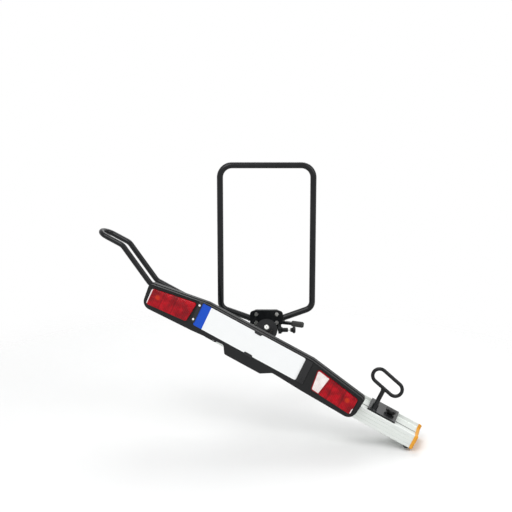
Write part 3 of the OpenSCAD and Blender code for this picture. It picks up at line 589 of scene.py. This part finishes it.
@dataclass(frozen=True)
class SinteredBronze(Finish):
    """Pressed bronze with oil-dark pores."""

    oily: Colour = (0.16, 0.10, 0.05)

    def paint(self, at: Shade) -> None:
        """Sets the shader.

        Args:
            at: the place on the piece.
        """
        pores = at.cells(1100).span(0.1, 0.45)
        oil = at.noise(scale=60, detail=4)
        at.graph.surface(
            Base_Color=(pores * 0.7 + oil * 0.3).blend(self.oily, self.colour),
            Metallic=0.9 - oil * 0.2,
            Roughness=oil * 0.2 + self.roughness,
            Normal=pores.relief(0.00004),
        )


@dataclass(frozen=True)
class BulbGlass(Finish):
    """Pale glass with a warm core."""

    warm: Colour = (0.92, 0.80, 0.55)

    def paint(self, at: Shade) -> None:
        """Sets the shader.

        Args:
            at: the place on the piece.
        """
        core = at.noise(scale=160)
        at.graph.surface(
            Base_Color=core.blend(self.colour, self.warm),
            Roughness=core * 0.1 + self.roughness,
            Coat_Weight=0.8 - core * 0.2,
            Normal=core.relief(0.0001),
        )


FINISHES: Mapping[Slot, Finish] = {
    Slot.CAST: PowderCoat((0.010, 0.011, 0.012), 0.46, level=False, peel=0.00010, dust=0.06, coat=0.06),
    Slot.GLOSS: PowderCoat((0.005, 0.0055, 0.0065), 0.26, level=False, shine=0.14, peel=0.00003, dust=0.03,
                           coat=0.16),
    Slot.ZINC: ZincPlate((0.66, 0.67, 0.68), 0.28),
    Slot.ALLOY: DrawnAlloy((0.74, 0.77, 0.74), 0.40),
    Slot.SHELL: MouldedPlastic((0.010, 0.0105, 0.011), 0.44),
    Slot.CLIP: MouldedPlastic((0.020, 0.020, 0.021), 0.38),
    Slot.KNOB: MouldedPlastic((0.009, 0.009, 0.0095), 0.45),
    # The red lenses get a painted warm highlight over the bulb at spot, and both lenses get a faint painted
    # glow.
    Slot.RED: LensPlastic((0.50, 0.0025, 0.011), 0.20, shine=0.12, deep=(0.11, 0.0008, 0.004), glow=0.06,
                          seams=(0.392, 0.452), spot=0.474, strip=0.5075),
    Slot.CLEAR: LensPlastic((0.86, 0.81, 0.79), 0.18, deep=(0.62, 0.53, 0.52), glow=0.03),
    Slot.LAMP: MouldedPlastic((0.74, 0.74, 0.72), 0.40),
    Slot.BULB: BulbGlass((0.80, 0.77, 0.68), 0.10),
    Slot.WHITE: ReflectiveSheet((0.84, 0.85, 0.85), 0.34),
    Slot.BLUE: ReflectiveSheet((0.008, 0.07, 0.50), 0.34, shine=0.12),
    Slot.ORANGE: MouldedPlastic((0.66, 0.30, 0.03), 0.40, scuff=0.12),
    Slot.RUBBER: SoftRubber((0.012, 0.012, 0.012), 0.72),
    Slot.BRONZE: SinteredBronze((0.50, 0.33, 0.16), 0.34),
}


class PaintShop:
    """Makes each finish once and puts it on pieces and CAD nodes."""

    def __init__(self, tilt: TiltFrame) -> None:
        """Holds the materials made so far."""
        self.tilt = tilt
        self.made: dict[Slot, bpy.types.Material] = {}

    def coat(self, thing: Thing, slot: Slot) -> None:
        """Gives a mesh the material of one slot.

        Args:
            thing: the piece or CAD node.
            slot: the slot.
        """
        if slot not in self.made:
            self.made[slot] = FINISHES[slot].material(slot.value, self.tilt)
        thing.data.materials.clear()
        thing.data.materials.append(self.made[slot])


# Modelling


def shift(x: float, y: float, z: float) -> Matrix:
    """A move by so many millimetres."""
    return Matrix.Translation(Vector((x, y, z)) * MM)


def turn(axis: str, degrees: float) -> Matrix:
    """A turn about one axis."""
    return Matrix.Rotation(math.radians(degrees), 4, axis)


class Bench:
    """Hand tools for meshes."""

    def __init__(self, loaded: Mapping[str, object], tilt: TiltFrame, paints: PaintShop) -> None:
        """Reads which slot and body each CAD node has.

        Args:
            loaded: the frame.
            tilt: the swing.
            paints: the finishes.
        """
        self.nodes: Mapping[str, Thing] = loaded["nodes"]
        record = loaded["record"]
        self.tilt = tilt
        self.paints = paints
        self.slots = {s["node"]: Slot(s["material_slot"]) for s in record["subparts"]}
        self.bodies = {n: b for b, names in record["behaviour"]["bodies"].items() for n in names}

    def pick(self, thing: Thing, *others: Thing) -> None:
        """Selects one piece, and others with it, and nothing else.

        Args:
            thing: the piece that becomes active.
            others: pieces that are selected too.
        """
        bpy.ops.object.select_all(action="DESELECT")
        for each in (thing, *others):
            each.select_set(True)
        bpy.context.view_layer.objects.active = thing

    def edit(self, thing: Thing, selected: bool = True) -> None:
        """Opens a piece for editing.

        Args:
            thing: the piece.
            selected: True to select all of it, False for nothing.
        """
        self.pick(thing)
        bpy.ops.object.mode_set(mode="EDIT")
        bpy.ops.mesh.select_mode(type="VERT")
        bpy.ops.mesh.select_all(action="SELECT" if selected else "DESELECT")

    def close(self) -> None:
        """Ends the editing."""
        bpy.ops.object.mode_set(mode="OBJECT")

    def choose(self, thing: Thing, domain: str, wanted: Callable[[object], bool]) -> None:
        """Selects the elements of an open piece that a test accepts.

        Args:
            thing: the piece in edit mode.
            domain: VERT or FACE.
            wanted: the test, called with each element.
        """
        bpy.ops.mesh.select_mode(type=domain)
        bpy.ops.mesh.select_all(action="DESELECT")
        mesh = bmesh.from_edit_mesh(thing.data)
        items = {"VERT": mesh.verts, "FACE": mesh.faces}[domain]
        items.ensure_lookup_table()
        for item in filter(wanted, items):
            item.select_set(True)
        mesh.select_flush_mode()
        bmesh.update_edit_mesh(thing.data)

    def copy(self, node: str) -> Thing:
        """A cleaned copy of a CAD node's mesh, its triangles joined into whole faces.

        Args:
            node: the node's name.

        Returns:
            The copy.
        """
        thing = bpy.data.objects.new(f"{node}_eased", self.nodes[node].data.copy())
        bpy.context.scene.collection.objects.link(thing)
        self.edit(thing)
        bpy.ops.mesh.customdata_custom_splitnormals_clear()
        bpy.ops.mesh.remove_doubles(threshold=MERGED)
        bpy.ops.mesh.normals_make_consistent(inside=False)
        bpy.ops.mesh.dissolve_limited(angle_limit=math.radians(FLAT_ANGLE))
        self.close()
        return thing

    def twin(self, thing: Thing, offset: Vector) -> Thing:
        """A copy of a piece with its own mesh, some way off.

        Args:
            thing: the piece.
            offset: the way in metres.

        Returns:
            The copy.
        """
        other = bpy.data.objects.new(thing.name, thing.data.copy())
        bpy.context.scene.collection.objects.link(other)
        return self.move(other, Matrix.Translation(offset))

    def join(self, *things: Thing) -> Thing:
        """Joins pieces.

        Args:
            things: the pieces.

        Returns:
            The first, which then holds them all.
        """
        self.pick(*things)
        bpy.ops.object.join()
        return things[0]

    def ease(self, thing: Thing, width: float, segments: int = 2, angle: float = 32.0) -> Thing:
        """Rounds the sharp edges of a piece.

        Args:
            thing: the piece.
            width: width of the rounding in millimetres.
            segments: faces across the rounding.
            angle: edges sharper than this many degrees are rounded.

        Returns:
            The piece.
        """
        self.pick(thing)
        bevel = thing.modifiers.new("ease", "BEVEL")
        bevel.width = width * MM
        bevel.segments = segments
        bevel.limit_method = "ANGLE"
        bevel.angle_limit = math.radians(angle)
        bevel.use_clamp_overlap = True
        bpy.ops.object.modifier_apply(modifier="ease")
        return thing

    def smooth(self, thing: Thing, angle: float = 40.0) -> Thing:
        """Shades a piece smooth, its flat faces kept flat.

        Args:
            thing: the piece.
            angle: edges sharper than this many degrees stay sharp.

        Returns:
            The piece.
        """
        self.pick(thing)
        bpy.ops.object.shade_smooth_by_angle(angle=math.radians(angle))
        thing.modifiers.new("weigh", "WEIGHTED_NORMAL").keep_sharp = True
        bpy.ops.object.modifier_apply(modifier="weigh")
        return thing

    def move(self, thing: Thing, matrix: Matrix) -> Thing:
        """Moves a piece and applies the move to its mesh.

        Args:
            thing: the piece.
            matrix: the move.

        Returns:
            The piece.
        """
        self.pick(thing)
        thing.matrix_world = matrix @ thing.matrix_world
        bpy.ops.object.transform_apply(location=True, rotation=True, scale=True)
        return thing

    def level(self, thing: Thing) -> Thing:
        """Takes a piece at rest to the level pose."""
        return self.move(thing, self.tilt.matrix.inverted())

    def swing(self, thing: Thing) -> Thing:
        """Takes a level piece to its place at rest."""
        return self.move(thing, self.tilt.matrix)

    def ring(self, name: str, at: Matrix, radius: float, bead: float, ripples: int = 26) -> Thing:
        """A rippled weld round a tube.

        Args:
            name: its name.
            at: place of its middle, the tube along the Z axis.
            radius: the tube's radius in millimetres.
            bead: the weld's own radius in millimetres.
            ripples: how many it has.

        Returns:
            The weld.
        """
        bpy.ops.mesh.primitive_torus_add(
            align="WORLD", location=(0, 0, 0), major_radius=radius * MM, minor_radius=bead * MM,
            major_segments=ripples * STEPS_PER_RIPPLE, minor_segments=BEAD_SIDES)
        thing = bpy.context.view_layer.objects.active
        thing.name = name
        self.edit(thing)
        self.choose(thing, "VERT", lambda v: math.sin(ripples * math.atan2(v.co.y, v.co.x)) > RIPPLE_FROM)
        bpy.ops.transform.shrink_fatten(value=bead * RIPPLE_RISE * MM)
        self.close()
        return self.move(thing, at)

    def deliver(self, thing: Thing, slot: Slot, body: str, *replaced: str) -> None:
        """Paints a finished piece and hands it to the frame.

        Args:
            thing: the piece, in place at rest.
            slot: its material slot.
            body: the body that it rides on.
            replaced: CAD nodes that it stands for.
        """
        self.paints.coat(thing, slot)
        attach(thing, body)
        if replaced:
            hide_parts(*replaced)
        LOG.info("%s: %d faces on %s, %s", thing.name, len(thing.data.polygons), body, slot.value)

    def deliver_weld(self, weld: Thing, body: Body) -> None:
        """Smooths a weld and hands it over in the tubes' finish."""
        self.deliver(self.smooth(weld, WELD_SMOOTH), Slot.GLOSS, body.value)

    def stand_in(self, thing: Thing, node: str) -> None:
        """Hands over a piece that takes the place, slot and body of one CAD node."""
        self.deliver(thing, self.slots[node], self.bodies[node], node)

    def carry(self, node: str) -> None:
        """Keeps a CAD node as it is, with its finish.

        Args:
            node: the node's name.
        """
        self.paints.coat(self.nodes[node], self.slots[node])
        LOG.info("%s: carried over, %s", node, self.slots[node].value)


@dataclass(frozen=True)
class Run:
    """A straight length of tube."""

    length: float


@dataclass(frozen=True)
class Bend:
    """A bend of tube. A positive angle turns left."""

    radius: float
    angle: float


@dataclass(frozen=True)
class Roll:
    """A turn of the plane of the next bend."""

    angle: float


Step = Union[Run, Bend, Roll]


@dataclass
class TubeBender:
    """Draws a ring along straight runs and bends, in millimetres and degrees.

    An open end gets a plug, its wall and the ring's reach given as shares of the radius.
    """

    bench: Bench
    radius: float
    sides: int = 40
    degrees_per_step: float = 5.0
    least_steps: int = 3
    join_gap: float = 0.02
    plug_depth: float = 1.2
    plug_wall: float = 0.16
    ring_reach: float = 1.05
    here: Matrix = field(default_factory=Matrix)

    def draw(self, name: str, start: Matrix, steps: Sequence[Step], closed: bool = False) -> Thing:
        """Bends one tube.

        Args:
            name: its name.
            start: place of its first end in metres, its X axis along the tube.
            steps: what follows, one after the other.
            closed: True for a tube that meets itself.

        Returns:
            The tube.
        """
        bpy.ops.object.select_all(action="DESELECT")
        bpy.ops.mesh.primitive_circle_add(vertices=self.sides, radius=self.radius * MM, fill_type="NOTHING")
        tube = bpy.context.view_layer.objects.active
        tube.name = name
        self.bench.move(tube, start @ turn("Y", 90))
        self.here = start.copy()
        self.bench.edit(tube)
        for step in steps:
            self._take(step)
        if closed:
            bpy.ops.mesh.select_all(action="SELECT")
            bpy.ops.mesh.remove_doubles(threshold=self.join_gap * MM)
        else:
            self._cap(tube, start, 1.0)
            self._cap(tube, self.here, -1.0)
        bpy.ops.mesh.select_all(action="SELECT")
        bpy.ops.mesh.normals_make_consistent(inside=False)
        self.bench.close()
        return tube

    def bead(self, name: str, start: Matrix, length: float, pitch: float = 3.0) -> Thing:
        """Lays a straight weld.

        Args:
            name: its name.
            start: place of its first end in metres, its X axis along the weld.
            length: its length.
            pitch: length of one ripple.

        Returns:
            The weld.
        """
        steps = round(STEPS_PER_RIPPLE * length / pitch)
        weld = self.draw(name, start, [Run(pitch / STEPS_PER_RIPPLE)] * steps)
        back = start.inverted()
        wave = 2 * math.pi / (pitch * MM)
        self.bench.edit(weld)
        self.bench.choose(weld, "VERT", lambda v: math.sin(wave * (back @ v.co).x) > RIPPLE_FROM)
        bpy.ops.transform.shrink_fatten(value=self.radius * RIPPLE_RISE * MM)
        self.bench.close()
        return weld

    def _take(self, step: Step) -> None:
        """Extrudes or spins the open end by one step.

        Args:
            step: a run, a bend or a roll.
        """
        if isinstance(step, Roll):
            self.here = self.here @ turn("X", step.angle)
        elif isinstance(step, Run):
            ahead = self.here.to_3x3() @ Vector((step.length * MM, 0, 0))
            bpy.ops.mesh.extrude_region_move(TRANSFORM_OT_translate={"value": ahead})
            self.here = Matrix.Translation(ahead) @ self.here
        else:
            side = math.copysign(1.0, step.angle)
            angle, reach = math.radians(abs(step.angle)), step.radius * MM
            steps = max(self.least_steps, round(abs(step.angle) / self.degrees_per_step))
            bpy.ops.mesh.spin(steps=steps, angle=-angle, center=self.here @ Vector((0, side * reach, 0)),
                              axis=self.here.to_3x3() @ Vector((0, 0, side)))
            ahead = Vector((math.sin(angle), side * (1 - math.cos(angle)), 0)) * reach
            self.here = self.here @ Matrix.Translation(ahead) @ turn("Z", step.angle)

    def _cap(self, tube: Thing, end: Matrix, inward: float) -> None:
        """Closes one end with a plug that sits a little inside the tube.

        Args:
            tube: the open piece.
            end: place of the end.
            inward: 1 or -1, the way along the X axis into the tube.
        """
        back = end.inverted()
        reach = self.radius * self.ring_reach * MM

        def at_end(vert: bmesh.types.BMVert) -> bool:
            """True for a point of this end's ring."""
            spot = back @ vert.co
            return abs(spot.x) < ON_PLANE and spot.yz.length < reach

        self.bench.choose(tube, "VERT", at_end)
        bpy.ops.mesh.edge_face_add()
        bpy.ops.mesh.select_mode(type="FACE")
        bpy.ops.mesh.inset(thickness=self.radius * self.plug_wall * MM, depth=0)
        bpy.ops.transform.translate(value=end.to_3x3() @ Vector((inward * self.plug_depth * MM, 0, 0)))
        bpy.ops.mesh.select_mode(type="VERT")


@dataclass
class Assembly:
    """A group of pieces. Each CAD node in eased gets its edges rounded by so many millimetres."""

    bench: Bench
    eased: Mapping[str, float] = field(default_factory=dict)
    carried: Sequence[str] = ()
    wide_ease: float = 1.4

    def build(self) -> None:
        """Makes the pieces that are drawn anew."""

    def dress(self) -> None:
        """Rounds and finishes the pieces that follow the CAD."""
        for node, width in self.eased.items():
            segments = 3 if width > self.wide_ease else 2
            thing = self.bench.ease(self.bench.copy(node), width, segments)
            self.bench.stand_in(self.bench.smooth(thing), node)
        for node in self.carried:
            self.bench.carry(node)


@dataclass
class Coupler(Assembly):
    """The clamp on the tow ball."""

    eased: Mapping[str, float] = field(default_factory=lambda: {
        "coupler_housing": 1.6, "clamp_jaw": 0.5, "coupler_lever": 0.8, "lever_grip": 1.2, "lever_lock": 0.4,
        "coupler_bolts": 0.5})
    carried: Sequence[str] = ("lever_pin",)


@dataclass
class BearingHead(Assembly):
    """The inclined bearing with its shaft and index plunger."""

    shaft_ease: float = 0.5
    shaft_smooth: float = 30.0
    centre: float = 3.0
    centre_taper: float = 0.9
    eased: Mapping[str, float] = field(default_factory=lambda: {
        "pivot_head": 1.2, "shaft_washer": 0.4, "shaft_nut": 0.8, "lock_sleeve": 0.5, "lock_knob": 1.0,
        "swing_bracket": 0.8, "saddle_bolts": 0.5})
    carried: Sequence[str] = ("pivot_bushes", "lock_spring", "lock_pin", "saddle_nuts")

    def build(self) -> None:
        """Turns the shaft's front end, with the lathe's centre hole in it."""
        axis = self.bench.tilt.axis
        shaft = self.bench.ease(self.bench.copy("pivot_shaft"), self.shaft_ease)
        end = max(v.co.dot(axis) for v in shaft.data.vertices)
        self.bench.edit(shaft, False)
        self.bench.choose(shaft, "FACE", lambda f: f.normal.dot(axis) > FACING
                          and f.calc_center_median().dot(axis) > end - BY_PLANE)
        face = sum(f.calc_area() for f in bmesh.from_edit_mesh(shaft.data).faces if f.select)
        bpy.ops.mesh.inset(thickness=math.sqrt(face / math.pi) - self.centre * MM, depth=0)
        bpy.ops.mesh.inset(thickness=self.centre * self.centre_taper * MM, depth=-self.centre * MM)
        self.bench.close()
        self.bench.stand_in(self.bench.smooth(shaft, self.shaft_smooth), "pivot_shaft")


@dataclass
class Mast(Assembly):
    """The tall hoop, bent from one tube and welded to its flange."""

    corner: float = 55
    lower_bend: float = 40
    slope: float = 20
    end_x: float = 66
    end_z: float = 44
    weld: float = 2.4
    weld_out: float = 1
    eased: Mapping[str, float] = field(default_factory=lambda: {"mast_flange": 0.8, "mast_bolts": 0.6})

    def build(self) -> None:
        """Bends the hoop."""
        low, high = (Vector(c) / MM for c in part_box("mast_hoop"))
        radius = (high.y - low.y) / 2
        width = high.x - low.x - 2 * radius
        top, depth = high.z - radius, (high.y + low.y) / 2
        lean = math.radians(self.slope)
        run = (width / 2 - self.end_x - self.lower_bend * (1 - math.sin(lean))) / math.cos(lean)
        leg = top - self.corner - (self.end_z + run * math.sin(lean) + self.lower_bend * math.cos(lean))
        half = [Run(run), Bend(self.lower_bend, self.slope - 90), Run(leg), Bend(self.corner, -90)]
        start = shift(-self.end_x, depth, self.end_z) @ turn("X", 90) @ turn("Z", 180 - self.slope)
        tube = TubeBender(self.bench, radius).draw(
            "mast_tube", start, [*half, Run(width - 2 * self.corner), *reversed(half)])
        self.bench.deliver(self.bench.smooth(tube), Slot.GLOSS, Body.BASE.value, "mast_hoop")
        self.welds(radius, depth)

    def welds(self, radius: float, depth: float) -> None:
        """Lays a weld round each end of the hoop where it leaves the flange.

        Args:
            radius: the tube's radius.
            depth: the place of its middle along Y.
        """
        lean = math.radians(self.slope)
        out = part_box("mast_flange")[1].x / MM + self.weld_out
        height = self.end_z + (out - self.end_x) / math.cos(lean) * math.sin(lean)
        for side, word in ((-1, "left"), (1, "right")):
            at = shift(side * out, depth, height) @ turn("Y", side * (90 - self.slope))
            self.bench.deliver_weld(self.bench.ring(f"mast_weld_{word}", at, radius, self.weld), Body.BASE)


@dataclass
class Rail(Assembly):
    """The extruded wheel rail with its caps and feet."""

    eased: Mapping[str, float] = field(default_factory=lambda: {
        "rail": 0.5, "rail_cap_left": 3.0, "rail_cap_right": 3.0, "rail_feet": 1.5})


@dataclass
class LightBoard(Assembly):
    """The moulded lamp board with lenses and number plate."""

    rib: float = 5.0
    rib_rise: float = 0.7
    rim_ease: float = 1.6
    rim_angle: float = 50.0
    lens_smooth: float = 28.0
    frame_width: float = 4.5
    eased: Mapping[str, float] = field(default_factory=lambda: {
        "board_shell": 2.0, "board_brackets": 0.8, "bracket_bolts": 0.5, "number_plate": 0.4,
        "plate_band": 0.4, "plate_clip_left": 0.6, "plate_clip_right": 0.6, "clip_rivets": 0.4,
        "plate_tabs": 0.7})
    carried: Sequence[str] = ("bracket_nuts", "left_lamp_base", "right_lamp_base", "lamp_bulbs",
                              "lamp_grommets")

    def build(self) -> None:
        """Makes the three lenses."""
        for node in ("left_lens", "right_lens", "reverse_lens"):
            self.bench.stand_in(self.lens(node), node)

    def lens(self, node: str) -> Thing:
        """A lens with a rounded rim and prism ribs across its front.

        Args:
            node: the lens's CAD node.

        Returns:
            The lens at rest.
        """
        lens = self.bench.level(self.bench.copy(node))
        front = min(v.co.y for v in lens.data.vertices)
        heights = [v.co.z for v in lens.data.vertices]
        low, pitch = min(heights), self.rib * MM / 2
        cuts = [low + k * pitch for k in range(1, int((max(heights) - low) / pitch))]
        self.bench.ease(lens, self.rim_ease, segments=3, angle=self.rim_angle)
        self.bench.edit(lens, False)
        if node == "reverse_lens":
            self.frame_window(lens, front)
        for height in cuts:
            self.choose_front(lens, front)
            bpy.ops.mesh.bisect(plane_co=(0, front, height), plane_no=(0, 0, 1), use_fill=False)
        self.bench.choose(lens, "VERT", lambda v: abs(v.co.y - front) < ON_PLANE
                          and any(abs(v.co.z - crest) < ON_PLANE for crest in cuts[::2]))
        bpy.ops.transform.translate(value=(0, -self.rib_rise * MM, 0))
        self.bench.close()
        return self.bench.swing(self.bench.smooth(lens, self.lens_smooth))

    def choose_front(self, lens: Thing, front: float) -> None:
        """Selects the flat front of an open, level lens whose front is at this Y."""
        self.bench.choose(lens, "FACE", lambda f: f.normal.y < -FACING
                          and abs(f.calc_center_median().y - front) < BY_PLANE)

    def frame_window(self, lens: Thing, front: float) -> None:
        """Marks a coloured frame round the front of an open lens.

        Args:
            lens: the level lens in edit mode.
            front: the place of its front along Y.
        """
        self.choose_front(lens, front)
        bpy.ops.mesh.inset(thickness=self.frame_width * MM, depth=0)
        mesh = bmesh.from_edit_mesh(lens.data)
        mark = mesh.verts.layers.float.new("rim")
        window = {v.index for f in mesh.faces if f.select for v in f.verts}
        for vert in mesh.verts:
            vert[mark] = 0.0 if vert.index in window else 1.0
        bmesh.update_edit_mesh(lens.data)


@dataclass
class FrontHolder(Assembly):
    """The front wheel hoop on its sliding foot."""

    tube: float = 25
    width: float = 90
    rise: float = 99
    slope: float = 27
    bend: float = 50
    top_run: float = 70
    end: Vector = field(default_factory=lambda: Vector((-403, -264, -23.2)))
    low_x: float = -543
    weld: float = 2.4
    weld_out: float = 1
    cradle: float = 24
    cradles_at: Sequence[float] = (-508, -428)
    eased: Mapping[str, float] = field(default_factory=lambda: {
        "front_foot": 0.8, "front_knob": 1.5, "front_clamp_bolt": 0.5})

    def build(self) -> None:
        """Bends the hoop from one tube."""
        lean = math.radians(self.slope)
        climb = Run((self.rise - 2 * self.bend * (1 - math.cos(lean))) / math.sin(lean))
        foot, top = Run(self.end.x - self.low_x), Run(self.top_run)
        leg = [Bend(self.bend, self.slope), climb, Bend(self.bend, -self.slope)]
        over = [Roll(90), Bend(self.width / 2, 180), Roll(90)]
        start = shift(*self.end) @ turn("Z", 180) @ turn("X", 90)
        hoop = TubeBender(self.bench, self.tube / 2).draw(
            "front_wheel_hoop", start, [foot, *leg, top, *over, top, *leg, foot])
        self.bench.stand_in(self.bench.swing(self.bench.smooth(hoop)), "front_hoop")
        self.welds()

    def welds(self) -> None:
        """Lays a bead on each side of both legs in each of the foot's cradles."""
        reach = self.tube / 2 + self.weld_out
        spots = [Vector((x, self.end.y + leg + side, self.end.z)) * MM
                 for x in self.cradles_at for leg in (0, self.width) for side in (-reach, reach)]
        welder = TubeBender(self.bench, self.weld, BEAD_SIDES)
        first = welder.bead("front_hoop_welds", Matrix.Translation(spots[0]), self.cradle)
        others = [self.bench.twin(first, spot - spots[0]) for spot in spots[1:]]
        self.bench.deliver_weld(self.bench.swing(self.bench.join(first, *others)), Body.FRONT)


@dataclass
class RearHolder(Assembly):
    """The rear wheel loop on its stem and sliding foot."""

    tube: float = 16
    width: float = 62
    length: float = 87
    height: float = 143
    tilt: float = -14
    stem: float = 20
    socket_floor: float = 2
    socket_top: float = 34.5
    weld: float = 2.0
    ripples: int = 18
    foot: Vector = field(default_factory=lambda: Vector((591, -279, -43.7)))
    eased: Mapping[str, float] = field(default_factory=lambda: {
        "rear_foot": 0.8, "rear_knob": 1.5, "rear_clamp_bolt": 0.5})

    def over_foot(self, height: float) -> Matrix:
        """A place on the stem's axis, so many millimetres over the foot's own place."""
        return shift(*self.foot) @ shift(0, 0, height)

    def build(self) -> None:
        """Bends the loop, sets it on its stem and lays the two welds."""
        middle = self.over_foot(self.height) @ turn("Y", -self.tilt) @ turn("X", 90)
        start = middle @ shift(-self.length / 2, -self.width / 2, 0)
        side, half = Run(self.length), Bend(self.width / 2, 180)
        loop = TubeBender(self.bench, self.tube / 2).draw(
            "rear_wheel_loop", start, [side, half, side, half], closed=True)
        tall = self.height - self.width / 2 / math.cos(math.radians(self.tilt)) - self.socket_floor
        upright = self.over_foot(self.socket_floor) @ turn("Y", -90)
        stem = TubeBender(self.bench, self.stem / 2).draw("rear_wheel_stem", upright, [Run(tall)])
        holder = self.bench.smooth(self.bench.join(loop, stem))
        self.bench.stand_in(self.bench.swing(holder), "rear_hoop")
        under_loop = tall - self.tube / 2 + self.socket_floor
        for name, height in (("rear_loop_weld", under_loop), ("rear_stem_weld", self.socket_top)):
            weld = self.bench.ring(name, self.over_foot(height), self.stem / 2, self.weld, self.ripples)
            self.bench.deliver_weld(self.bench.swing(weld), Body.REAR)


# Studio


@dataclass(frozen=True)
class Lamp:
    """A soft square lamp."""

    name: str
    at: Vector
    power: float
    size: float


@dataclass
class Studio:
    """Pale floor, white backdrop, soft lamps and a camera that looks down by some degrees."""

    camera_at: Vector = field(default_factory=lambda: Vector((-0.048, -4.767, 1.335)))
    pitch_down: float = 12.0
    sensor: float = 36.0
    focal_pixels: float = 1050.0
    picture_pixels: float = 512.0
    aim: Vector = field(default_factory=lambda: Vector((0.1, -0.2, 0.1)))
    lamps: Sequence[Lamp] = field(default_factory=lambda: (
        Lamp("key", Vector((-1.6, -2.6, 3.4)), 90, 2.6),
        Lamp("fill", Vector((2.6, -2.2, 2.2)), 45, 2.4),
        Lamp("rim", Vector((0.4, 2.4, 3.0)), 60, 2.2)))
    sky: Colour = (0.98, 0.99, 1.0)
    sky_strength: float = 0.72
    white: Colour = (1.0, 1.0, 1.0)
    floor_dark: Colour = (0.74, 0.74, 0.735)
    floor_pale: Colour = (0.79, 0.79, 0.785)
    floor_size: float = 30.0
    floor_gap: float = 0.0005
    fade_from: float = 1.0
    fade_to: float = 2.3

    def build(self) -> None:
        """Sets up everything round the object."""
        scene = bpy.context.scene
        scene.view_settings.view_transform = "Standard"
        self._world(scene)
        self._floor()
        for lamp in self.lamps:
            self._hang(lamp)
        bpy.ops.object.camera_add(location=self.camera_at,
                                  rotation=(math.radians(90 - self.pitch_down), 0, 0))
        camera = bpy.context.view_layer.objects.active
        camera.data.sensor_width = self.sensor
        camera.data.lens = self.focal_pixels / self.picture_pixels * self.sensor
        camera.data.dof.use_dof = False
        scene.camera = camera

    def _world(self, scene: bpy.types.Scene) -> None:
        """White to the camera and in reflections, a little dimmer as a light.

        Args:
            scene: the scene that gets the world.
        """
        scene.world = bpy.data.worlds.new("room")
        graph = Graph(scene.world)
        camera, glossy, clear = (graph.add("ShaderNodeLightPath", {}, {}, ray)
                                 for ray in ("Is Camera Ray", "Is Glossy Ray", "Is Transmission Ray"))
        lit, shown = (graph.add("ShaderNodeBackground", {}, {"Color": (*colour, 1.0), "Strength": strength})
                      for colour, strength in ((self.sky, self.sky_strength), (self.white, 1.0)))
        mix = graph.add("ShaderNodeMixShader", {}, {0: camera.most(glossy).most(clear), 1: lit, 2: shown})
        graph.node("ShaderNodeOutputWorld", {}, {"Surface": mix})

    def _floor(self) -> None:
        """A pale floor at the lowest point of the object, fading out to white."""
        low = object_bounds()[0].z
        bpy.ops.mesh.primitive_plane_add(size=self.floor_size, location=(0, 0, low - self.floor_gap))
        floor = bpy.context.view_layer.objects.active
        floor.name = "floor"
        graph = Graph(bpy.data.materials.new("floor"))
        at = graph.add("ShaderNodeTexCoord", {}, {}, "Object")
        clouds = at.noise(scale=0.8, detail=4)
        away = graph.add("ShaderNodeVectorMath", {"operation": "LENGTH"}, {0: at}, "Value")
        graph.surface(Base_Color=clouds.blend(self.floor_dark, self.floor_pale),
                      Roughness=clouds * 0.1 + 0.6, Alpha=1.0 - away.span(self.fade_from, self.fade_to))
        floor.data.materials.append(graph.owner)
        floor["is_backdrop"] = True

    def _hang(self, lamp: Lamp) -> None:
        """Hangs a lamp that looks at the middle of the object.

        Args:
            lamp: the lamp.
        """
        bpy.ops.object.light_add(type="AREA", location=lamp.at)
        light = bpy.context.view_layer.objects.active
        light.name = lamp.name
        light.data.energy = lamp.power
        light.data.size = lamp.size
        light.rotation_euler = (self.aim - lamp.at).to_track_quat("-Z", "Y").to_euler()
        light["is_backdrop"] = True


def main(loaded: Mapping[str, object]) -> None:
    """Builds the carrier and its studio.

    Args:
        loaded: the frame.
    """
    logging.basicConfig(level=logging.INFO, format="%(name)s %(message)s")
    tilt = TiltFrame.of(loaded["joints"])
    bench = Bench(loaded, tilt, PaintShop(tilt))
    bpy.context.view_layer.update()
    for kind in (Coupler, BearingHead, Mast, Rail, LightBoard, FrontHolder, RearHolder):
        group = kind(bench)
        group.build()
        group.dress()
    Studio().build()


if __name__ == "__main__":
    main(frame)
